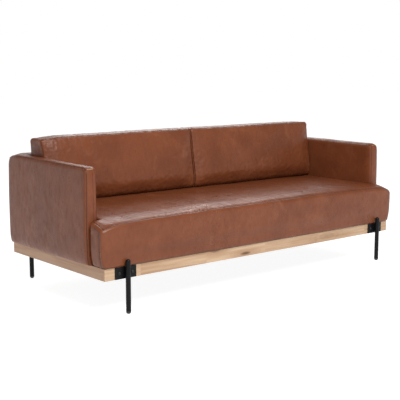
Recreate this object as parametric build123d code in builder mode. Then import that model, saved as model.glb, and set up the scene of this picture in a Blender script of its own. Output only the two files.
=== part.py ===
"""Three-seat sofa: upholstered body on an oak plinth with four round steel legs.

Millimetres, +Z up, +X along the sofa's length, and the front faces -Y.
The origin is on the floor under the centre of the sofa.
"""

from build123d import *
import os

os.makedirs("parts", exist_ok=True)

# ---------------------------------------------------------------- driving dimensions

# oak plinth
BASE_LENGTH = 2100.0
BASE_DEPTH = 896.0
RAIL_HEIGHT = 60.0
RAIL_THICK = 28.0
BASE_BOTTOM = 170.0
RAIL_ROUND = 1.5
CROSS_RAIL_WIDTH = 40.0
CROSS_RAIL_RECESS = 8.0
CROSS_RAIL_X = 600.0
CORNER_BLOCK = 38.0
BLOCK_RECESS = 4.0
DUST_COVER_THICK = 1.5

# legs, each a rod on a bolted plate
LEG_RADIUS = 12.5
LEG_X = 931.0
LEG_STANDOFF = 24.0
LEG_TOP = 268.0
GLIDE_HEIGHT = 14.0
GLIDE_FLAT_RADIUS = 5.0
GLIDE_PEG_RADIUS = 4.0
GLIDE_PEG_LENGTH = 12.0
PLATE_WIDTH = 123.0
PLATE_THICK = 5.0
PLATE_MARGIN = 1.0
WEB_WIDTH = 14.0

# fasteners
LEG_BOLT_RADIUS = 4.0
LEG_BOLT_SPREAD = 38.0
BOLT_HEAD_RADIUS = 7.5
BOLT_HEAD_HEIGHT = 4.4
HEX_RADIUS = 2.9
HEX_DEPTH = 2.6
TEE_NUT_RADIUS = 9.5
TEE_NUT_FLANGE = 1.6
TEE_NUT_BARREL = 5.0
TEE_NUT_DEPTH = 11.0
BODY_BOLT_RADIUS = 4.0
BODY_BOLT_HEAD_RADIUS = 8.0
BODY_BOLT_HEAD_HEIGHT = 5.0
BODY_BOLT_SINK = 8.0
BODY_BOLT_REACH = 40.0

# upholstered body, outside sizes of the leather
LEATHER = 2.0
BODY_BOTTOM = 232.0
FRONT_Y = -458.0
REAR_Y = 458.0
SEAT_TOP = 462.0
SEAT_FRONT_HALF = 1057.0
SEAT_INNER_HALF = 1008.0
SEAT_WING_REAR_Y = -352.0
SEAT_REAR_Y = 346.0
SEAT_EDGE_RADIUS = 30.0
SEAT_CORNER_RADIUS = 18.0
ARM_OUTER_X = 1078.0
ARM_INNER_X = 1010.0
ARM_FRONT_Y = -350.0
ARM_CORNER_RADIUS = 42.0
BACK_INNER_Y = 348.0
BACK_HALF = 1009.0
SHELL_TOP = 714.0
SHELL_EDGE_RADIUS = 12.0

# timber frame inside the body
SEAT_RAIL_TOP = 322.0
SEAT_FRONT_RAIL_Y = -440.0
SEAT_FRONT_RAIL_HALF = 1040.0
SEAT_FRONT_RAIL_THICK = 25.0
SEAT_END_RAIL_X = 1032.0
SEAT_END_RAIL_THICK = 32.0
SEAT_REAR_RAIL_Y = 364.0
SEAT_REAR_RAIL_THICK = 36.0
BRACE_HALF_WIDTH = 20.0
UPRIGHT_DEPTH = 36.0
UPRIGHT_WIDTH = 60.0
UPRIGHT_SPACING = 500.0
SHELL_FRAME_TOP = 696.0
TOP_RAIL_HEIGHT = 36.0
ARM_FRAME_OUTER_X = 1062.0
ARM_POST_WIDTH = 50.0
ARM_POST_FRONT_Y = -334.0
ARM_POST_REAR_Y = 436.0
PANEL_THICK = 3.0
WEBBING_WIDTH = 50.0
WEBBING_THICK = 2.0
WEBBING_PITCH = 85.0
WEBBING_COUNT = 4
WEBBING_BOTTOM = 350.0

# seat suspension
WIRE_RADIUS = 1.9
SPRING_PITCH = 150.0
SPRING_COUNT = 12
SPRING_WIDTH = 50.0
SPRING_STEP = 30.0
SPRING_HALF_TURNS = 26
CLIP_LENGTH = 16.0
CLIP_WIDTH = 16.0
PAD_THICK = 6.0

# loose back cushions
CUSHION_INNER_X = 3.0
CUSHION_OUTER_X = 1004.0
CUSHION_BOTTOM = 464.0
CUSHION_TOP = 821.0
CUSHION_FRONT_BOTTOM_Y = 121.0
CUSHION_FRONT_TOP_Y = 184.0
CUSHION_REAR_Y = 326.0
CUSHION_ROUND = 22.0
ZIP_Z = 490.0
ZIP_WIDTH = 6.0
ZIP_END_GAP = 60.0
SLIDER_LENGTH = 12.0
SLIDER_WIDTH = 9.0
SLIDER_THICK = 3.0
PULL_LENGTH = 20.0
PULL_THICK = 1.5

# clearances
FIT_GAP = 0.1
SLIDE_GAP = 0.3

# ---------------------------------------------------------------- worked-out values

HALF_LENGTH = BASE_LENGTH / 2
HALF_DEPTH = BASE_DEPTH / 2
INNER_LENGTH = HALF_LENGTH - RAIL_THICK
INNER_DEPTH = HALF_DEPTH - RAIL_THICK
BASE_TOP = BASE_BOTTOM + RAIL_HEIGHT
BASE_MID_Z = BASE_BOTTOM + RAIL_HEIGHT / 2
CROSS_RAIL_BOTTOM = BASE_BOTTOM + CROSS_RAIL_RECESS
LEG_Y = HALF_DEPTH + LEG_STANDOFF
BODY_BOLT_Y = INNER_DEPTH + 10.0
BODY_BOLT_X = (-UPRIGHT_SPACING, 0.0, UPRIGHT_SPACING)
UPRIGHT_FRONT_Y = SEAT_REAR_RAIL_Y + SEAT_REAR_RAIL_THICK
SPRING_Z = SEAT_RAIL_TOP + 2 * WIRE_RADIUS
PAD_BOTTOM = SPRING_Z + 2 * WIRE_RADIUS
DECK_BOTTOM = PAD_BOTTOM + PAD_THICK
ARM_FRAME_INNER_X = SEAT_END_RAIL_X + FIT_GAP


def block(x, y, z, mode=Mode.ADD):
    """Add a box between (low, high) pairs to the active part."""
    centre = ((x[0] + x[1]) / 2, (y[0] + y[1]) / 2, (z[0] + z[1]) / 2)
    with Locations(centre):
        return Box(x[1] - x[0], y[1] - y[0], z[1] - z[0], mode=mode)


def save(piece, name):
    """Label a finished piece and write it under its node name."""
    piece.part.label = name
    export_step(piece.part, os.path.join("parts", name + ".step"))


def save_mirrored(piece, name, plane):
    """Write the mirror image of a piece under its own node name."""
    with BuildPart() as twin:
        mirror(piece.part, about=plane)
    save(twin, name)


# ---------------------------------------------------------------- oak plinth


def make_base_long_rails():
    """Front and rear rails: mitred ends, holes for leg bolts and body bolts."""
    with BuildPart() as rail:
        with BuildSketch(Plane.XY.offset(BASE_BOTTOM)):
            with BuildLine():
                Polyline(
                    (-HALF_LENGTH, -HALF_DEPTH),
                    (HALF_LENGTH, -HALF_DEPTH),
                    (INNER_LENGTH, -INNER_DEPTH),
                    (-INNER_LENGTH, -INNER_DEPTH),
                    close=True,
                )
            make_face()
        extrude(amount=RAIL_HEIGHT)
        fillet(rail.edges().filter_by(Axis.X), RAIL_ROUND)
        for leg_x in (-LEG_X, LEG_X):
            face = Plane((leg_x, -HALF_DEPTH, BASE_MID_Z), x_dir=(1, 0, 0), z_dir=(0, -1, 0))
            with Locations(face):
                with GridLocations(2 * LEG_BOLT_SPREAD, 0, 2, 1):
                    Hole(LEG_BOLT_RADIUS + FIT_GAP)
            inside = Plane((leg_x, -INNER_DEPTH, BASE_MID_Z), x_dir=(1, 0, 0), z_dir=(0, 1, 0))
            with Locations(inside):
                with GridLocations(2 * LEG_BOLT_SPREAD, 0, 2, 1):
                    Hole(TEE_NUT_BARREL + FIT_GAP, TEE_NUT_DEPTH)
        for bolt_x in BODY_BOLT_X:
            with Locations(Plane((bolt_x, -BODY_BOLT_Y, BASE_BOTTOM), z_dir=(0, 0, -1))):
                CounterBoreHole(
                    BODY_BOLT_RADIUS + FIT_GAP, BODY_BOLT_HEAD_RADIUS + FIT_GAP, BODY_BOLT_SINK
                )
    save(rail, "base_front_rail")
    save_mirrored(rail, "base_rear_rail", Plane.XZ)


def make_base_side_rails():
    """Left and right rails, mitred to the long rails."""
    with BuildPart() as rail:
        with BuildSketch(Plane.XY.offset(BASE_BOTTOM)):
            with BuildLine():
                Polyline(
                    (-HALF_LENGTH, -HALF_DEPTH),
                    (-INNER_LENGTH, -INNER_DEPTH),
                    (-INNER_LENGTH, INNER_DEPTH),
                    (-HALF_LENGTH, HALF_DEPTH),
                    close=True,
                )
            make_face()
        extrude(amount=RAIL_HEIGHT)
        fillet(rail.edges().filter_by(Axis.Y), RAIL_ROUND)
    save(rail, "base_left_rail")
    save_mirrored(rail, "base_right_rail", Plane.YZ)


def make_base_cross_rails():
    """Three bearers between the long rails, set up from the plinth's lower edge."""
    for name, middle in (("left", -CROSS_RAIL_X), ("centre", 0.0), ("right", CROSS_RAIL_X)):
        with BuildPart() as bearer:
            block(
                (middle - CROSS_RAIL_WIDTH / 2, middle + CROSS_RAIL_WIDTH / 2),
                (-INNER_DEPTH, INNER_DEPTH),
                (CROSS_RAIL_BOTTOM, BASE_TOP),
            )
            chamfer(bearer.edges().filter_by(Axis.Y).group_by(Axis.Z)[0], RAIL_ROUND)
        save(bearer, "base_cross_rail_" + name)


def make_base_corner_blocks():
    """Glued triangular blocks in the plinth's four corners, bored for their screws."""
    with BuildPart() as blocks:
        with BuildSketch(Plane.XY.offset(BASE_BOTTOM + BLOCK_RECESS)):
            with BuildLine():
                Polyline(
                    (INNER_LENGTH, INNER_DEPTH),
                    (INNER_LENGTH - CORNER_BLOCK, INNER_DEPTH),
                    (INNER_LENGTH, INNER_DEPTH - CORNER_BLOCK),
                    close=True,
                )
            make_face()
        extrude(amount=RAIL_HEIGHT - 2 * BLOCK_RECESS)
        mirror(about=Plane.XZ)
        mirror(about=Plane.YZ)
    save(blocks, "base_corner_blocks")


def make_dust_cover():
    """Woven sheet stapled under the bearers, inside the plinth."""
    with BuildPart() as sheet:
        block(
            (-INNER_LENGTH + FIT_GAP, INNER_LENGTH - FIT_GAP),
            (-INNER_DEPTH + FIT_GAP, INNER_DEPTH - FIT_GAP),
            (CROSS_RAIL_BOTTOM - DUST_COVER_THICK, CROSS_RAIL_BOTTOM),
        )
        with BuildSketch(Plane.XY.offset(CROSS_RAIL_BOTTOM)):
            for corner_x in (-INNER_LENGTH, INNER_LENGTH):
                for corner_y in (-INNER_DEPTH, INNER_DEPTH):
                    with Locations((corner_x, corner_y)):
                        Rectangle(2.2 * CORNER_BLOCK, 2.2 * CORNER_BLOCK, rotation=45)
        extrude(amount=-DUST_COVER_THICK, mode=Mode.SUBTRACT)
    save(sheet, "dust_cover")


# ---------------------------------------------------------------- legs


def make_leg(name, leg_x, leg_y):
    """Round rod with a domed top and a blind hole for the glide's peg."""
    with BuildPart() as rod:
        with BuildSketch(Plane((leg_x, leg_y, 0), x_dir=(1, 0, 0), z_dir=(0, -1, 0))):
            with BuildLine():
                Line((0, GLIDE_HEIGHT), (LEG_RADIUS, GLIDE_HEIGHT))
                Line((LEG_RADIUS, GLIDE_HEIGHT), (LEG_RADIUS, LEG_TOP - LEG_RADIUS))
                RadiusArc((LEG_RADIUS, LEG_TOP - LEG_RADIUS), (0, LEG_TOP), -LEG_RADIUS)
                Line((0, LEG_TOP), (0, GLIDE_HEIGHT))
            make_face()
        revolve(axis=Axis((leg_x, leg_y, 0), (0, 0, 1)))
        with Locations(Plane((leg_x, leg_y, GLIDE_HEIGHT), z_dir=(0, 0, -1))):
            Hole(GLIDE_PEG_RADIUS + FIT_GAP, GLIDE_PEG_LENGTH + 1.0)
    save(rod, "leg_rod_" + name)


def make_glide(name, leg_x, leg_y):
    """Nylon foot: dome with a small flat to stand on and a peg up into the rod."""
    dome_centre = (LEG_RADIUS**2 - GLIDE_FLAT_RADIUS**2) ** 0.5
    with BuildPart() as glide:
        with BuildSketch(Plane((leg_x, leg_y, 0), x_dir=(1, 0, 0), z_dir=(0, -1, 0))):
            with BuildLine():
                Line((0, 0), (GLIDE_FLAT_RADIUS, 0))
                RadiusArc((GLIDE_FLAT_RADIUS, 0), (LEG_RADIUS, dome_centre), -LEG_RADIUS)
                Polyline(
                    (LEG_RADIUS, dome_centre),
                    (LEG_RADIUS, GLIDE_HEIGHT),
                    (GLIDE_PEG_RADIUS, GLIDE_HEIGHT),
                    (GLIDE_PEG_RADIUS, GLIDE_HEIGHT + GLIDE_PEG_LENGTH),
                    (0, GLIDE_HEIGHT + GLIDE_PEG_LENGTH),
                    (0, 0),
                )
            make_face()
        revolve(axis=Axis((leg_x, leg_y, 0), (0, 0, 1)))
    save(glide, "leg_glide_" + name)


def make_leg_plate(name, leg_x, facing):
    """Bolted plate with a web that carries the rod off the rail; facing is -1 or 1."""
    with BuildPart() as plate:
        low = BASE_BOTTOM + PLATE_MARGIN
        high = BASE_TOP - PLATE_MARGIN
        near = facing * HALF_DEPTH
        outer = facing * (HALF_DEPTH + PLATE_THICK)
        axis = facing * LEG_Y
        block(
            (leg_x - PLATE_WIDTH / 2, leg_x + PLATE_WIDTH / 2),
            sorted((near, outer)),
            (low, high),
        )
        fillet(plate.edges().filter_by(Axis.Y), 2.0)
        chamfer(plate.faces().sort_by(Axis.Y)[0 if facing < 0 else -1].edges(), 0.6)
        block(
            (leg_x - WEB_WIDTH / 2, leg_x + WEB_WIDTH / 2),
            sorted((outer, axis)),
            (low + 2.0, high - 2.0),
        )
        with Locations((leg_x, axis, BASE_MID_Z)):
            Cylinder(LEG_RADIUS + FIT_GAP, 2 * RAIL_HEIGHT, mode=Mode.SUBTRACT)
        with Locations(Plane((leg_x, outer, BASE_MID_Z), x_dir=(1, 0, 0), z_dir=(0, facing, 0))):
            with GridLocations(2 * LEG_BOLT_SPREAD, 0, 2, 1):
                Hole(LEG_BOLT_RADIUS + FIT_GAP)
    save(plate, "leg_plate_" + name)


def make_legs():
    """Four legs, each a rod, its plate and its glide."""
    for row, facing in (("front", -1), ("rear", 1)):
        for side, leg_x in (("left", -LEG_X), ("right", LEG_X)):
            name = row + "_" + side
            make_leg(name, leg_x, facing * LEG_Y)
            make_glide(name, leg_x, facing * LEG_Y)
            make_leg_plate(name, leg_x, facing)


def leg_bolt_places():
    """Bolt planes on the outer faces of the four plates, z pointing outward."""
    places = []
    for facing in (-1, 1):
        for leg_x in (-LEG_X, LEG_X):
            for spread in (-LEG_BOLT_SPREAD, LEG_BOLT_SPREAD):
                origin = (leg_x + spread, facing * (HALF_DEPTH + PLATE_THICK), BASE_MID_Z)
                places.append(Plane(origin, x_dir=(1, 0, 0), z_dir=(0, facing, 0)))
    return places


def make_leg_bolts():
    """Button-head bolts through plates and rails, with hexagon sockets."""
    shank = PLATE_THICK + RAIL_THICK
    with BuildPart() as bolt:
        Cylinder(LEG_BOLT_RADIUS, shank, align=(Align.CENTER, Align.CENTER, Align.MAX))
        Cylinder(
            BOLT_HEAD_RADIUS, BOLT_HEAD_HEIGHT, align=(Align.CENTER, Align.CENTER, Align.MIN)
        )
        fillet(bolt.edges().group_by(Axis.Z)[-1], BOLT_HEAD_HEIGHT * 0.7)
        with BuildSketch(Plane.XY.offset(BOLT_HEAD_HEIGHT)):
            RegularPolygon(HEX_RADIUS, 6)
        extrude(amount=-HEX_DEPTH, mode=Mode.SUBTRACT)
    with BuildPart() as bolts:
        with Locations(*leg_bolt_places()):
            add(bolt.part)
    save(bolts, "leg_bolts")


def make_leg_tee_nuts():
    """Flanged nuts let into the inside of the long rails."""
    with BuildPart() as nut:
        Cylinder(
            TEE_NUT_BARREL, TEE_NUT_DEPTH - 1.0, align=(Align.CENTER, Align.CENTER, Align.MIN)
        )
        Cylinder(TEE_NUT_RADIUS, TEE_NUT_FLANGE, align=(Align.CENTER, Align.CENTER, Align.MAX))
        Hole(LEG_BOLT_RADIUS + FIT_GAP)
    inward = PLATE_THICK + RAIL_THICK
    places = [place.offset(-inward) for place in leg_bolt_places()]
    with BuildPart() as nuts:
        with Locations(*places):
            add(nut.part)
    save(nuts, "leg_tee_nuts")


# ---------------------------------------------------------------- seat frame


def make_seat_front_rail():
    """Front seat rail, bored from below for the body bolts."""
    with BuildPart() as rail:
        block(
            (-SEAT_FRONT_RAIL_HALF, SEAT_FRONT_RAIL_HALF),
            (SEAT_FRONT_RAIL_Y, SEAT_FRONT_RAIL_Y + SEAT_FRONT_RAIL_THICK),
            (BASE_TOP, SEAT_RAIL_TOP),
        )
        for bolt_x in BODY_BOLT_X:
            with Locations(Plane((bolt_x, -BODY_BOLT_Y, BASE_TOP), z_dir=(0, 0, -1))):
                Hole(BODY_BOLT_RADIUS + FIT_GAP, BODY_BOLT_REACH + 2.0)
    save(rail, "seat_front_rail")


def make_seat_rear_rail():
    """Rear seat rail, which also carries the rear ends of the springs."""
    with BuildPart() as rail:
        block(
            (-SEAT_END_RAIL_X, SEAT_END_RAIL_X),
            (SEAT_REAR_RAIL_Y, SEAT_REAR_RAIL_Y + SEAT_REAR_RAIL_THICK),
            (BASE_TOP, SEAT_RAIL_TOP),
        )
    save(rail, "seat_rear_rail")


def make_seat_end_rails():
    """Left and right seat rails between the front and rear ones."""
    with BuildPart() as rail:
        block(
            (-SEAT_END_RAIL_X, -SEAT_END_RAIL_X + SEAT_END_RAIL_THICK),
            (SEAT_FRONT_RAIL_Y + SEAT_FRONT_RAIL_THICK, SEAT_REAR_RAIL_Y),
            (BASE_TOP, SEAT_RAIL_TOP),
        )
    save(rail, "seat_left_rail")
    save_mirrored(rail, "seat_right_rail", Plane.YZ)


def make_seat_centre_brace():
    """Brace that keeps the long seat rails apart under the springs' pull."""
    with BuildPart() as brace:
        block(
            (-BRACE_HALF_WIDTH, BRACE_HALF_WIDTH),
            (SEAT_FRONT_RAIL_Y + SEAT_FRONT_RAIL_THICK, SEAT_REAR_RAIL_Y),
            (BASE_TOP, SEAT_RAIL_TOP - 2 * PAD_THICK),
        )
    save(brace, "seat_centre_brace")


def spring_columns():
    """Centre lines of the zigzag springs along X."""
    first = -(SPRING_COUNT - 1) * SPRING_PITCH / 2
    return [first + index * SPRING_PITCH for index in range(SPRING_COUNT)]


def make_seat_springs():
    """Zigzag wire springs from the front rail to the rear rail."""
    turn = SPRING_STEP / 2
    reach = SPRING_WIDTH / 2 - turn
    start_y = SEAT_FRONT_RAIL_Y + SEAT_FRONT_RAIL_THICK / 2
    with BuildPart() as spring:
        with BuildLine() as wire:
            for index in range(SPRING_HALF_TURNS + 1):
                side = 1 if index % 2 == 0 else -1
                row_y = start_y + index * SPRING_STEP
                Line((-side * reach, row_y, SPRING_Z), (side * reach, row_y, SPRING_Z))
                if index < SPRING_HALF_TURNS:
                    ThreePointArc(
                        (side * reach, row_y, SPRING_Z),
                        (side * (reach + turn), row_y + turn, SPRING_Z),
                        (side * reach, row_y + SPRING_STEP, SPRING_Z),
                    )
        with BuildSketch(Plane(wire.line @ 0, z_dir=wire.line % 0)):
            Circle(WIRE_RADIUS)
        sweep(path=wire.line)
    with BuildPart() as springs:
        with Locations(*[(column, 0, 0) for column in spring_columns()]):
            add(spring.part)
    save(springs, "seat_springs")


def make_seat_spring_clips():
    """Clips that hold both ends of every spring down on the seat rails."""
    front_y = SEAT_FRONT_RAIL_Y + SEAT_FRONT_RAIL_THICK / 2
    rear_y = front_y + SPRING_HALF_TURNS * SPRING_STEP
    clip_height = SPRING_Z + 2 * WIRE_RADIUS - SEAT_RAIL_TOP
    middle_z = SEAT_RAIL_TOP + clip_height / 2
    with BuildPart() as clips:
        with Locations(*[(x, y, middle_z) for x in spring_columns() for y in (front_y, rear_y)]):
            Box(CLIP_WIDTH, CLIP_LENGTH, clip_height)
            with Locations((0, 0, SPRING_Z - middle_z)):
                Cylinder(
                    WIRE_RADIUS + FIT_GAP, 2 * CLIP_WIDTH, rotation=(0, 90, 0), mode=Mode.SUBTRACT
                )
    save(clips, "seat_spring_clips")


def make_seat_spring_pad():
    """Felt pad between the springs and the foam."""
    with BuildPart() as pad:
        block(
            (-SEAT_INNER_HALF + LEATHER, SEAT_INNER_HALF - LEATHER),
            (SEAT_FRONT_RAIL_Y, SEAT_REAR_Y - LEATHER),
            (PAD_BOTTOM, DECK_BOTTOM),
        )
    save(pad, "seat_spring_pad")


# ---------------------------------------------------------------- seat upholstery


def seat_envelope(inset):
    """T-shaped seat: full width in front of the arms, narrower between them."""
    with BuildPart() as seat:
        with BuildSketch(Plane.XY.offset(BODY_BOTTOM)) as plan:
            with BuildLine():
                Polyline(
                    (-SEAT_FRONT_HALF + inset, FRONT_Y + inset),
                    (SEAT_FRONT_HALF - inset, FRONT_Y + inset),
                    (SEAT_FRONT_HALF - inset, SEAT_WING_REAR_Y - inset),
                    (SEAT_INNER_HALF - inset, SEAT_WING_REAR_Y - inset),
                    (SEAT_INNER_HALF - inset, SEAT_REAR_Y - inset),
                    (-SEAT_INNER_HALF + inset, SEAT_REAR_Y - inset),
                    (-SEAT_INNER_HALF + inset, SEAT_WING_REAR_Y - inset),
                    (-SEAT_FRONT_HALF + inset, SEAT_WING_REAR_Y - inset),
                    close=True,
                )
            make_face()
            fillet(plan.vertices().group_by(Axis.Y)[0], SEAT_CORNER_RADIUS - inset)
        extrude(amount=SEAT_TOP - inset - BODY_BOTTOM)
        rim = seat.faces().sort_by(Axis.Z)[-1].edges()
        soft = rim.filter_by(lambda edge: edge.center().Y < SEAT_WING_REAR_Y - 2 * inset - 1)
        fillet(soft, SEAT_EDGE_RADIUS - inset)
    return seat.part


def cut_seat_frame(front_y):
    """Take the timber frame, springs and pad out of the active upholstery part."""
    block(
        (-SEAT_FRONT_RAIL_HALF - FIT_GAP, SEAT_FRONT_RAIL_HALF + FIT_GAP),
        (front_y, SEAT_WING_REAR_Y + FIT_GAP),
        (BASE_TOP, DECK_BOTTOM),
        mode=Mode.SUBTRACT,
    )
    block(
        (-SEAT_END_RAIL_X, SEAT_END_RAIL_X),
        (front_y, UPRIGHT_FRONT_Y),
        (BASE_TOP, DECK_BOTTOM),
        mode=Mode.SUBTRACT,
    )


def make_seat_foam():
    """Front foam across the full width, and the deck foam between the arms."""
    split_y = SEAT_WING_REAR_Y - LEATHER
    with BuildPart() as front_foam:
        add(seat_envelope(LEATHER))
        cut_seat_frame(SEAT_FRONT_RAIL_Y - FIT_GAP)
        split(bisect_by=Plane.XZ.offset(-split_y), keep=Keep.TOP)
    save(front_foam, "seat_front_foam")
    with BuildPart() as deck_foam:
        add(seat_envelope(LEATHER))
        cut_seat_frame(SEAT_FRONT_RAIL_Y - FIT_GAP)
        split(bisect_by=Plane.XZ.offset(-split_y), keep=Keep.BOTTOM)
    save(deck_foam, "seat_deck_foam")


def make_seat_cover():
    """Leather skin over the T-shaped seat, open underneath."""
    with BuildPart() as cover:
        add(seat_envelope(0))
        add(seat_envelope(LEATHER), mode=Mode.SUBTRACT)
        block(
            (-SEAT_END_RAIL_X, SEAT_END_RAIL_X),
            (SEAT_WING_REAR_Y - 2 * LEATHER, UPRIGHT_FRONT_Y),
            (BASE_TOP, DECK_BOTTOM),
            mode=Mode.SUBTRACT,
        )
    save(cover, "seat_cover")


# ---------------------------------------------------------------- arms


def arm_envelope(inset):
    """Left arm: a slab with a round top front corner and soft edges."""
    with BuildPart() as arm:
        with BuildSketch(Plane.YZ.offset(-ARM_OUTER_X + inset)) as side:
            with BuildLine():
                Polyline(
                    (ARM_FRONT_Y + inset, BODY_BOTTOM),
                    (ARM_FRONT_Y + inset, SHELL_TOP - inset),
                    (REAR_Y - inset, SHELL_TOP - inset),
                    (REAR_Y - inset, BODY_BOTTOM),
                    close=True,
                )
            make_face()
            top_front = side.vertices().group_by(Axis.Y)[-1].sort_by(Axis.X)[0]
            fillet(top_front, ARM_CORNER_RADIUS - inset)
        extrude(amount=ARM_OUTER_X - ARM_INNER_X - 2 * inset)
        rim = arm.edges().filter_by(
            lambda edge: edge.center().Z > BODY_BOTTOM + 1 and not is_along_x(edge)
        )
        fillet(rim, SHELL_EDGE_RADIUS - inset)
    return arm.part


def is_along_x(edge):
    """True for straight edges that run across the arm's thickness."""
    return edge.geom_type == GeomType.LINE and abs(edge.tangent_at(0).X) > 0.9


def cut_seat_and_back_frame_from_arm():
    """Make room inside the left arm for the seat's end rail and the back's frame."""
    block(
        (-ARM_FRAME_INNER_X, -ARM_INNER_X + 1.0),
        (ARM_FRONT_Y - 1.0, REAR_Y - LEATHER),
        (BASE_TOP, DECK_BOTTOM),
        mode=Mode.SUBTRACT,
    )
    cut_back_frame()


def make_arm_frame():
    """Posts, top rail and outer panel of the left arm, and their mirror images."""
    x_range = (-ARM_FRAME_OUTER_X, -ARM_FRAME_INNER_X)
    front_post_end = ARM_POST_FRONT_Y + ARM_POST_WIDTH
    rear_post_start = ARM_POST_REAR_Y - ARM_POST_WIDTH
    with BuildPart() as front_post:
        block(x_range, (ARM_POST_FRONT_Y, front_post_end), (BASE_TOP, SHELL_FRAME_TOP))
    with BuildPart() as rear_post:
        block(x_range, (rear_post_start, ARM_POST_REAR_Y), (BASE_TOP, SHELL_FRAME_TOP))
    with BuildPart() as top_rail:
        block(
            x_range,
            (front_post_end, rear_post_start),
            (SHELL_FRAME_TOP - TOP_RAIL_HEIGHT, SHELL_FRAME_TOP),
        )
    with BuildPart() as panel:
        block(
            (-ARM_FRAME_OUTER_X - PANEL_THICK, -ARM_FRAME_OUTER_X),
            (ARM_POST_FRONT_Y, ARM_POST_REAR_Y),
            (BODY_BOTTOM, SHELL_FRAME_TOP),
        )
    pieces = {
        "arm_front_post": front_post,
        "arm_rear_post": rear_post,
        "arm_top_rail": top_rail,
        "arm_panel": panel,
    }
    for name, piece in pieces.items():
        save(piece, "left_" + name)
        save_mirrored(piece, "right_" + name, Plane.YZ)


def make_arm_upholstery():
    """Foam round the arm's frame and the leather skin over it, left and right."""
    with BuildPart() as foam:
        add(arm_envelope(LEATHER))
        block(
            (-ARM_FRAME_OUTER_X - PANEL_THICK, -ARM_FRAME_INNER_X + FIT_GAP),
            (ARM_POST_FRONT_Y, ARM_POST_REAR_Y),
            (BASE_TOP, SHELL_FRAME_TOP),
            mode=Mode.SUBTRACT,
        )
        cut_seat_and_back_frame_from_arm()
    with BuildPart() as cover:
        add(arm_envelope(0))
        add(arm_envelope(LEATHER), mode=Mode.SUBTRACT)
        cut_seat_and_back_frame_from_arm()
    for name, piece in (("arm_foam", foam), ("arm_cover", cover)):
        save(piece, "left_" + name)
        save_mirrored(piece, "right_" + name, Plane.YZ)


# ---------------------------------------------------------------- back


def back_envelope(inset):
    """Back slab between the arms, with soft top edges."""
    with BuildPart() as back:
        block(
            (-BACK_HALF + inset, BACK_HALF - inset),
            (BACK_INNER_Y + inset, REAR_Y - inset),
            (BODY_BOTTOM, SHELL_TOP - inset),
        )
        fillet(back.edges().filter_by(Axis.X).group_by(Axis.Z)[-1], SHELL_EDGE_RADIUS - inset)
    return back.part


def make_back_frame():
    """Three uprights under a top rail, webbed across the front."""
    rear_y = UPRIGHT_FRONT_Y + UPRIGHT_DEPTH
    upright_top = SHELL_FRAME_TOP - TOP_RAIL_HEIGHT
    with BuildPart() as top_rail:
        block(
            (-ARM_FRAME_INNER_X + FIT_GAP, ARM_FRAME_INNER_X - FIT_GAP),
            (UPRIGHT_FRONT_Y, rear_y),
            (upright_top, SHELL_FRAME_TOP),
        )
    save(top_rail, "back_top_rail")
    with BuildPart() as uprights:
        for upright_x in BODY_BOLT_X:
            block(
                (upright_x - UPRIGHT_WIDTH / 2, upright_x + UPRIGHT_WIDTH / 2),
                (UPRIGHT_FRONT_Y, rear_y),
                (BASE_TOP, upright_top),
            )
            with Locations(Plane((upright_x, BODY_BOLT_Y, BASE_TOP), z_dir=(0, 0, -1))):
                Hole(BODY_BOLT_RADIUS + FIT_GAP, BODY_BOLT_REACH + 2.0)
    save(uprights, "back_uprights")
    with BuildPart() as webbing:
        for index in range(WEBBING_COUNT):
            low = WEBBING_BOTTOM + index * WEBBING_PITCH
            block(
                (-SEAT_END_RAIL_X, SEAT_END_RAIL_X),
                (UPRIGHT_FRONT_Y - WEBBING_THICK, UPRIGHT_FRONT_Y),
                (low, low + WEBBING_WIDTH),
            )
    save(webbing, "back_webbing")


def cut_back_frame():
    """Take the timber, webbing and rear spring ends out of the active part."""
    rear_y = UPRIGHT_FRONT_Y + UPRIGHT_DEPTH
    half = ARM_FRAME_INNER_X
    block(
        (-half, half),
        (UPRIGHT_FRONT_Y - WEBBING_THICK, rear_y),
        (BASE_TOP, SHELL_FRAME_TOP),
        mode=Mode.SUBTRACT,
    )
    block((-half, half), (BACK_INNER_Y - 1.0, rear_y), (BASE_TOP, DECK_BOTTOM), mode=Mode.SUBTRACT)


def make_back_upholstery():
    """Foam round the back's frame and the leather skin over it."""
    with BuildPart() as foam:
        add(back_envelope(LEATHER))
        cut_back_frame()
    save(foam, "back_foam")
    with BuildPart() as cover:
        add(back_envelope(0))
        add(back_envelope(LEATHER), mode=Mode.SUBTRACT)
        cut_back_frame()
    save(cover, "back_cover")


def make_body_bolts():
    """Bolts from under the plinth up into the seat rail and the back uprights."""
    shank = RAIL_HEIGHT - BODY_BOLT_SINK + BODY_BOLT_REACH
    with BuildPart() as bolt:
        Cylinder(BODY_BOLT_RADIUS, shank, align=(Align.CENTER, Align.CENTER, Align.MIN))
        Cylinder(
            BODY_BOLT_HEAD_RADIUS,
            BODY_BOLT_HEAD_HEIGHT,
            align=(Align.CENTER, Align.CENTER, Align.MAX),
        )
        with BuildSketch(Plane.XY.offset(-BODY_BOLT_HEAD_HEIGHT)):
            RegularPolygon(HEX_RADIUS + 1.0, 6)
        extrude(amount=HEX_DEPTH, mode=Mode.SUBTRACT)
    seat_z = BASE_BOTTOM + BODY_BOLT_SINK
    with BuildPart() as bolts:
        with Locations(*[(x, y, seat_z) for x in BODY_BOLT_X for y in (-BODY_BOLT_Y, BODY_BOLT_Y)]):
            add(bolt.part)
    save(bolts, "body_bolts")


# ---------------------------------------------------------------- back cushions


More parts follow.
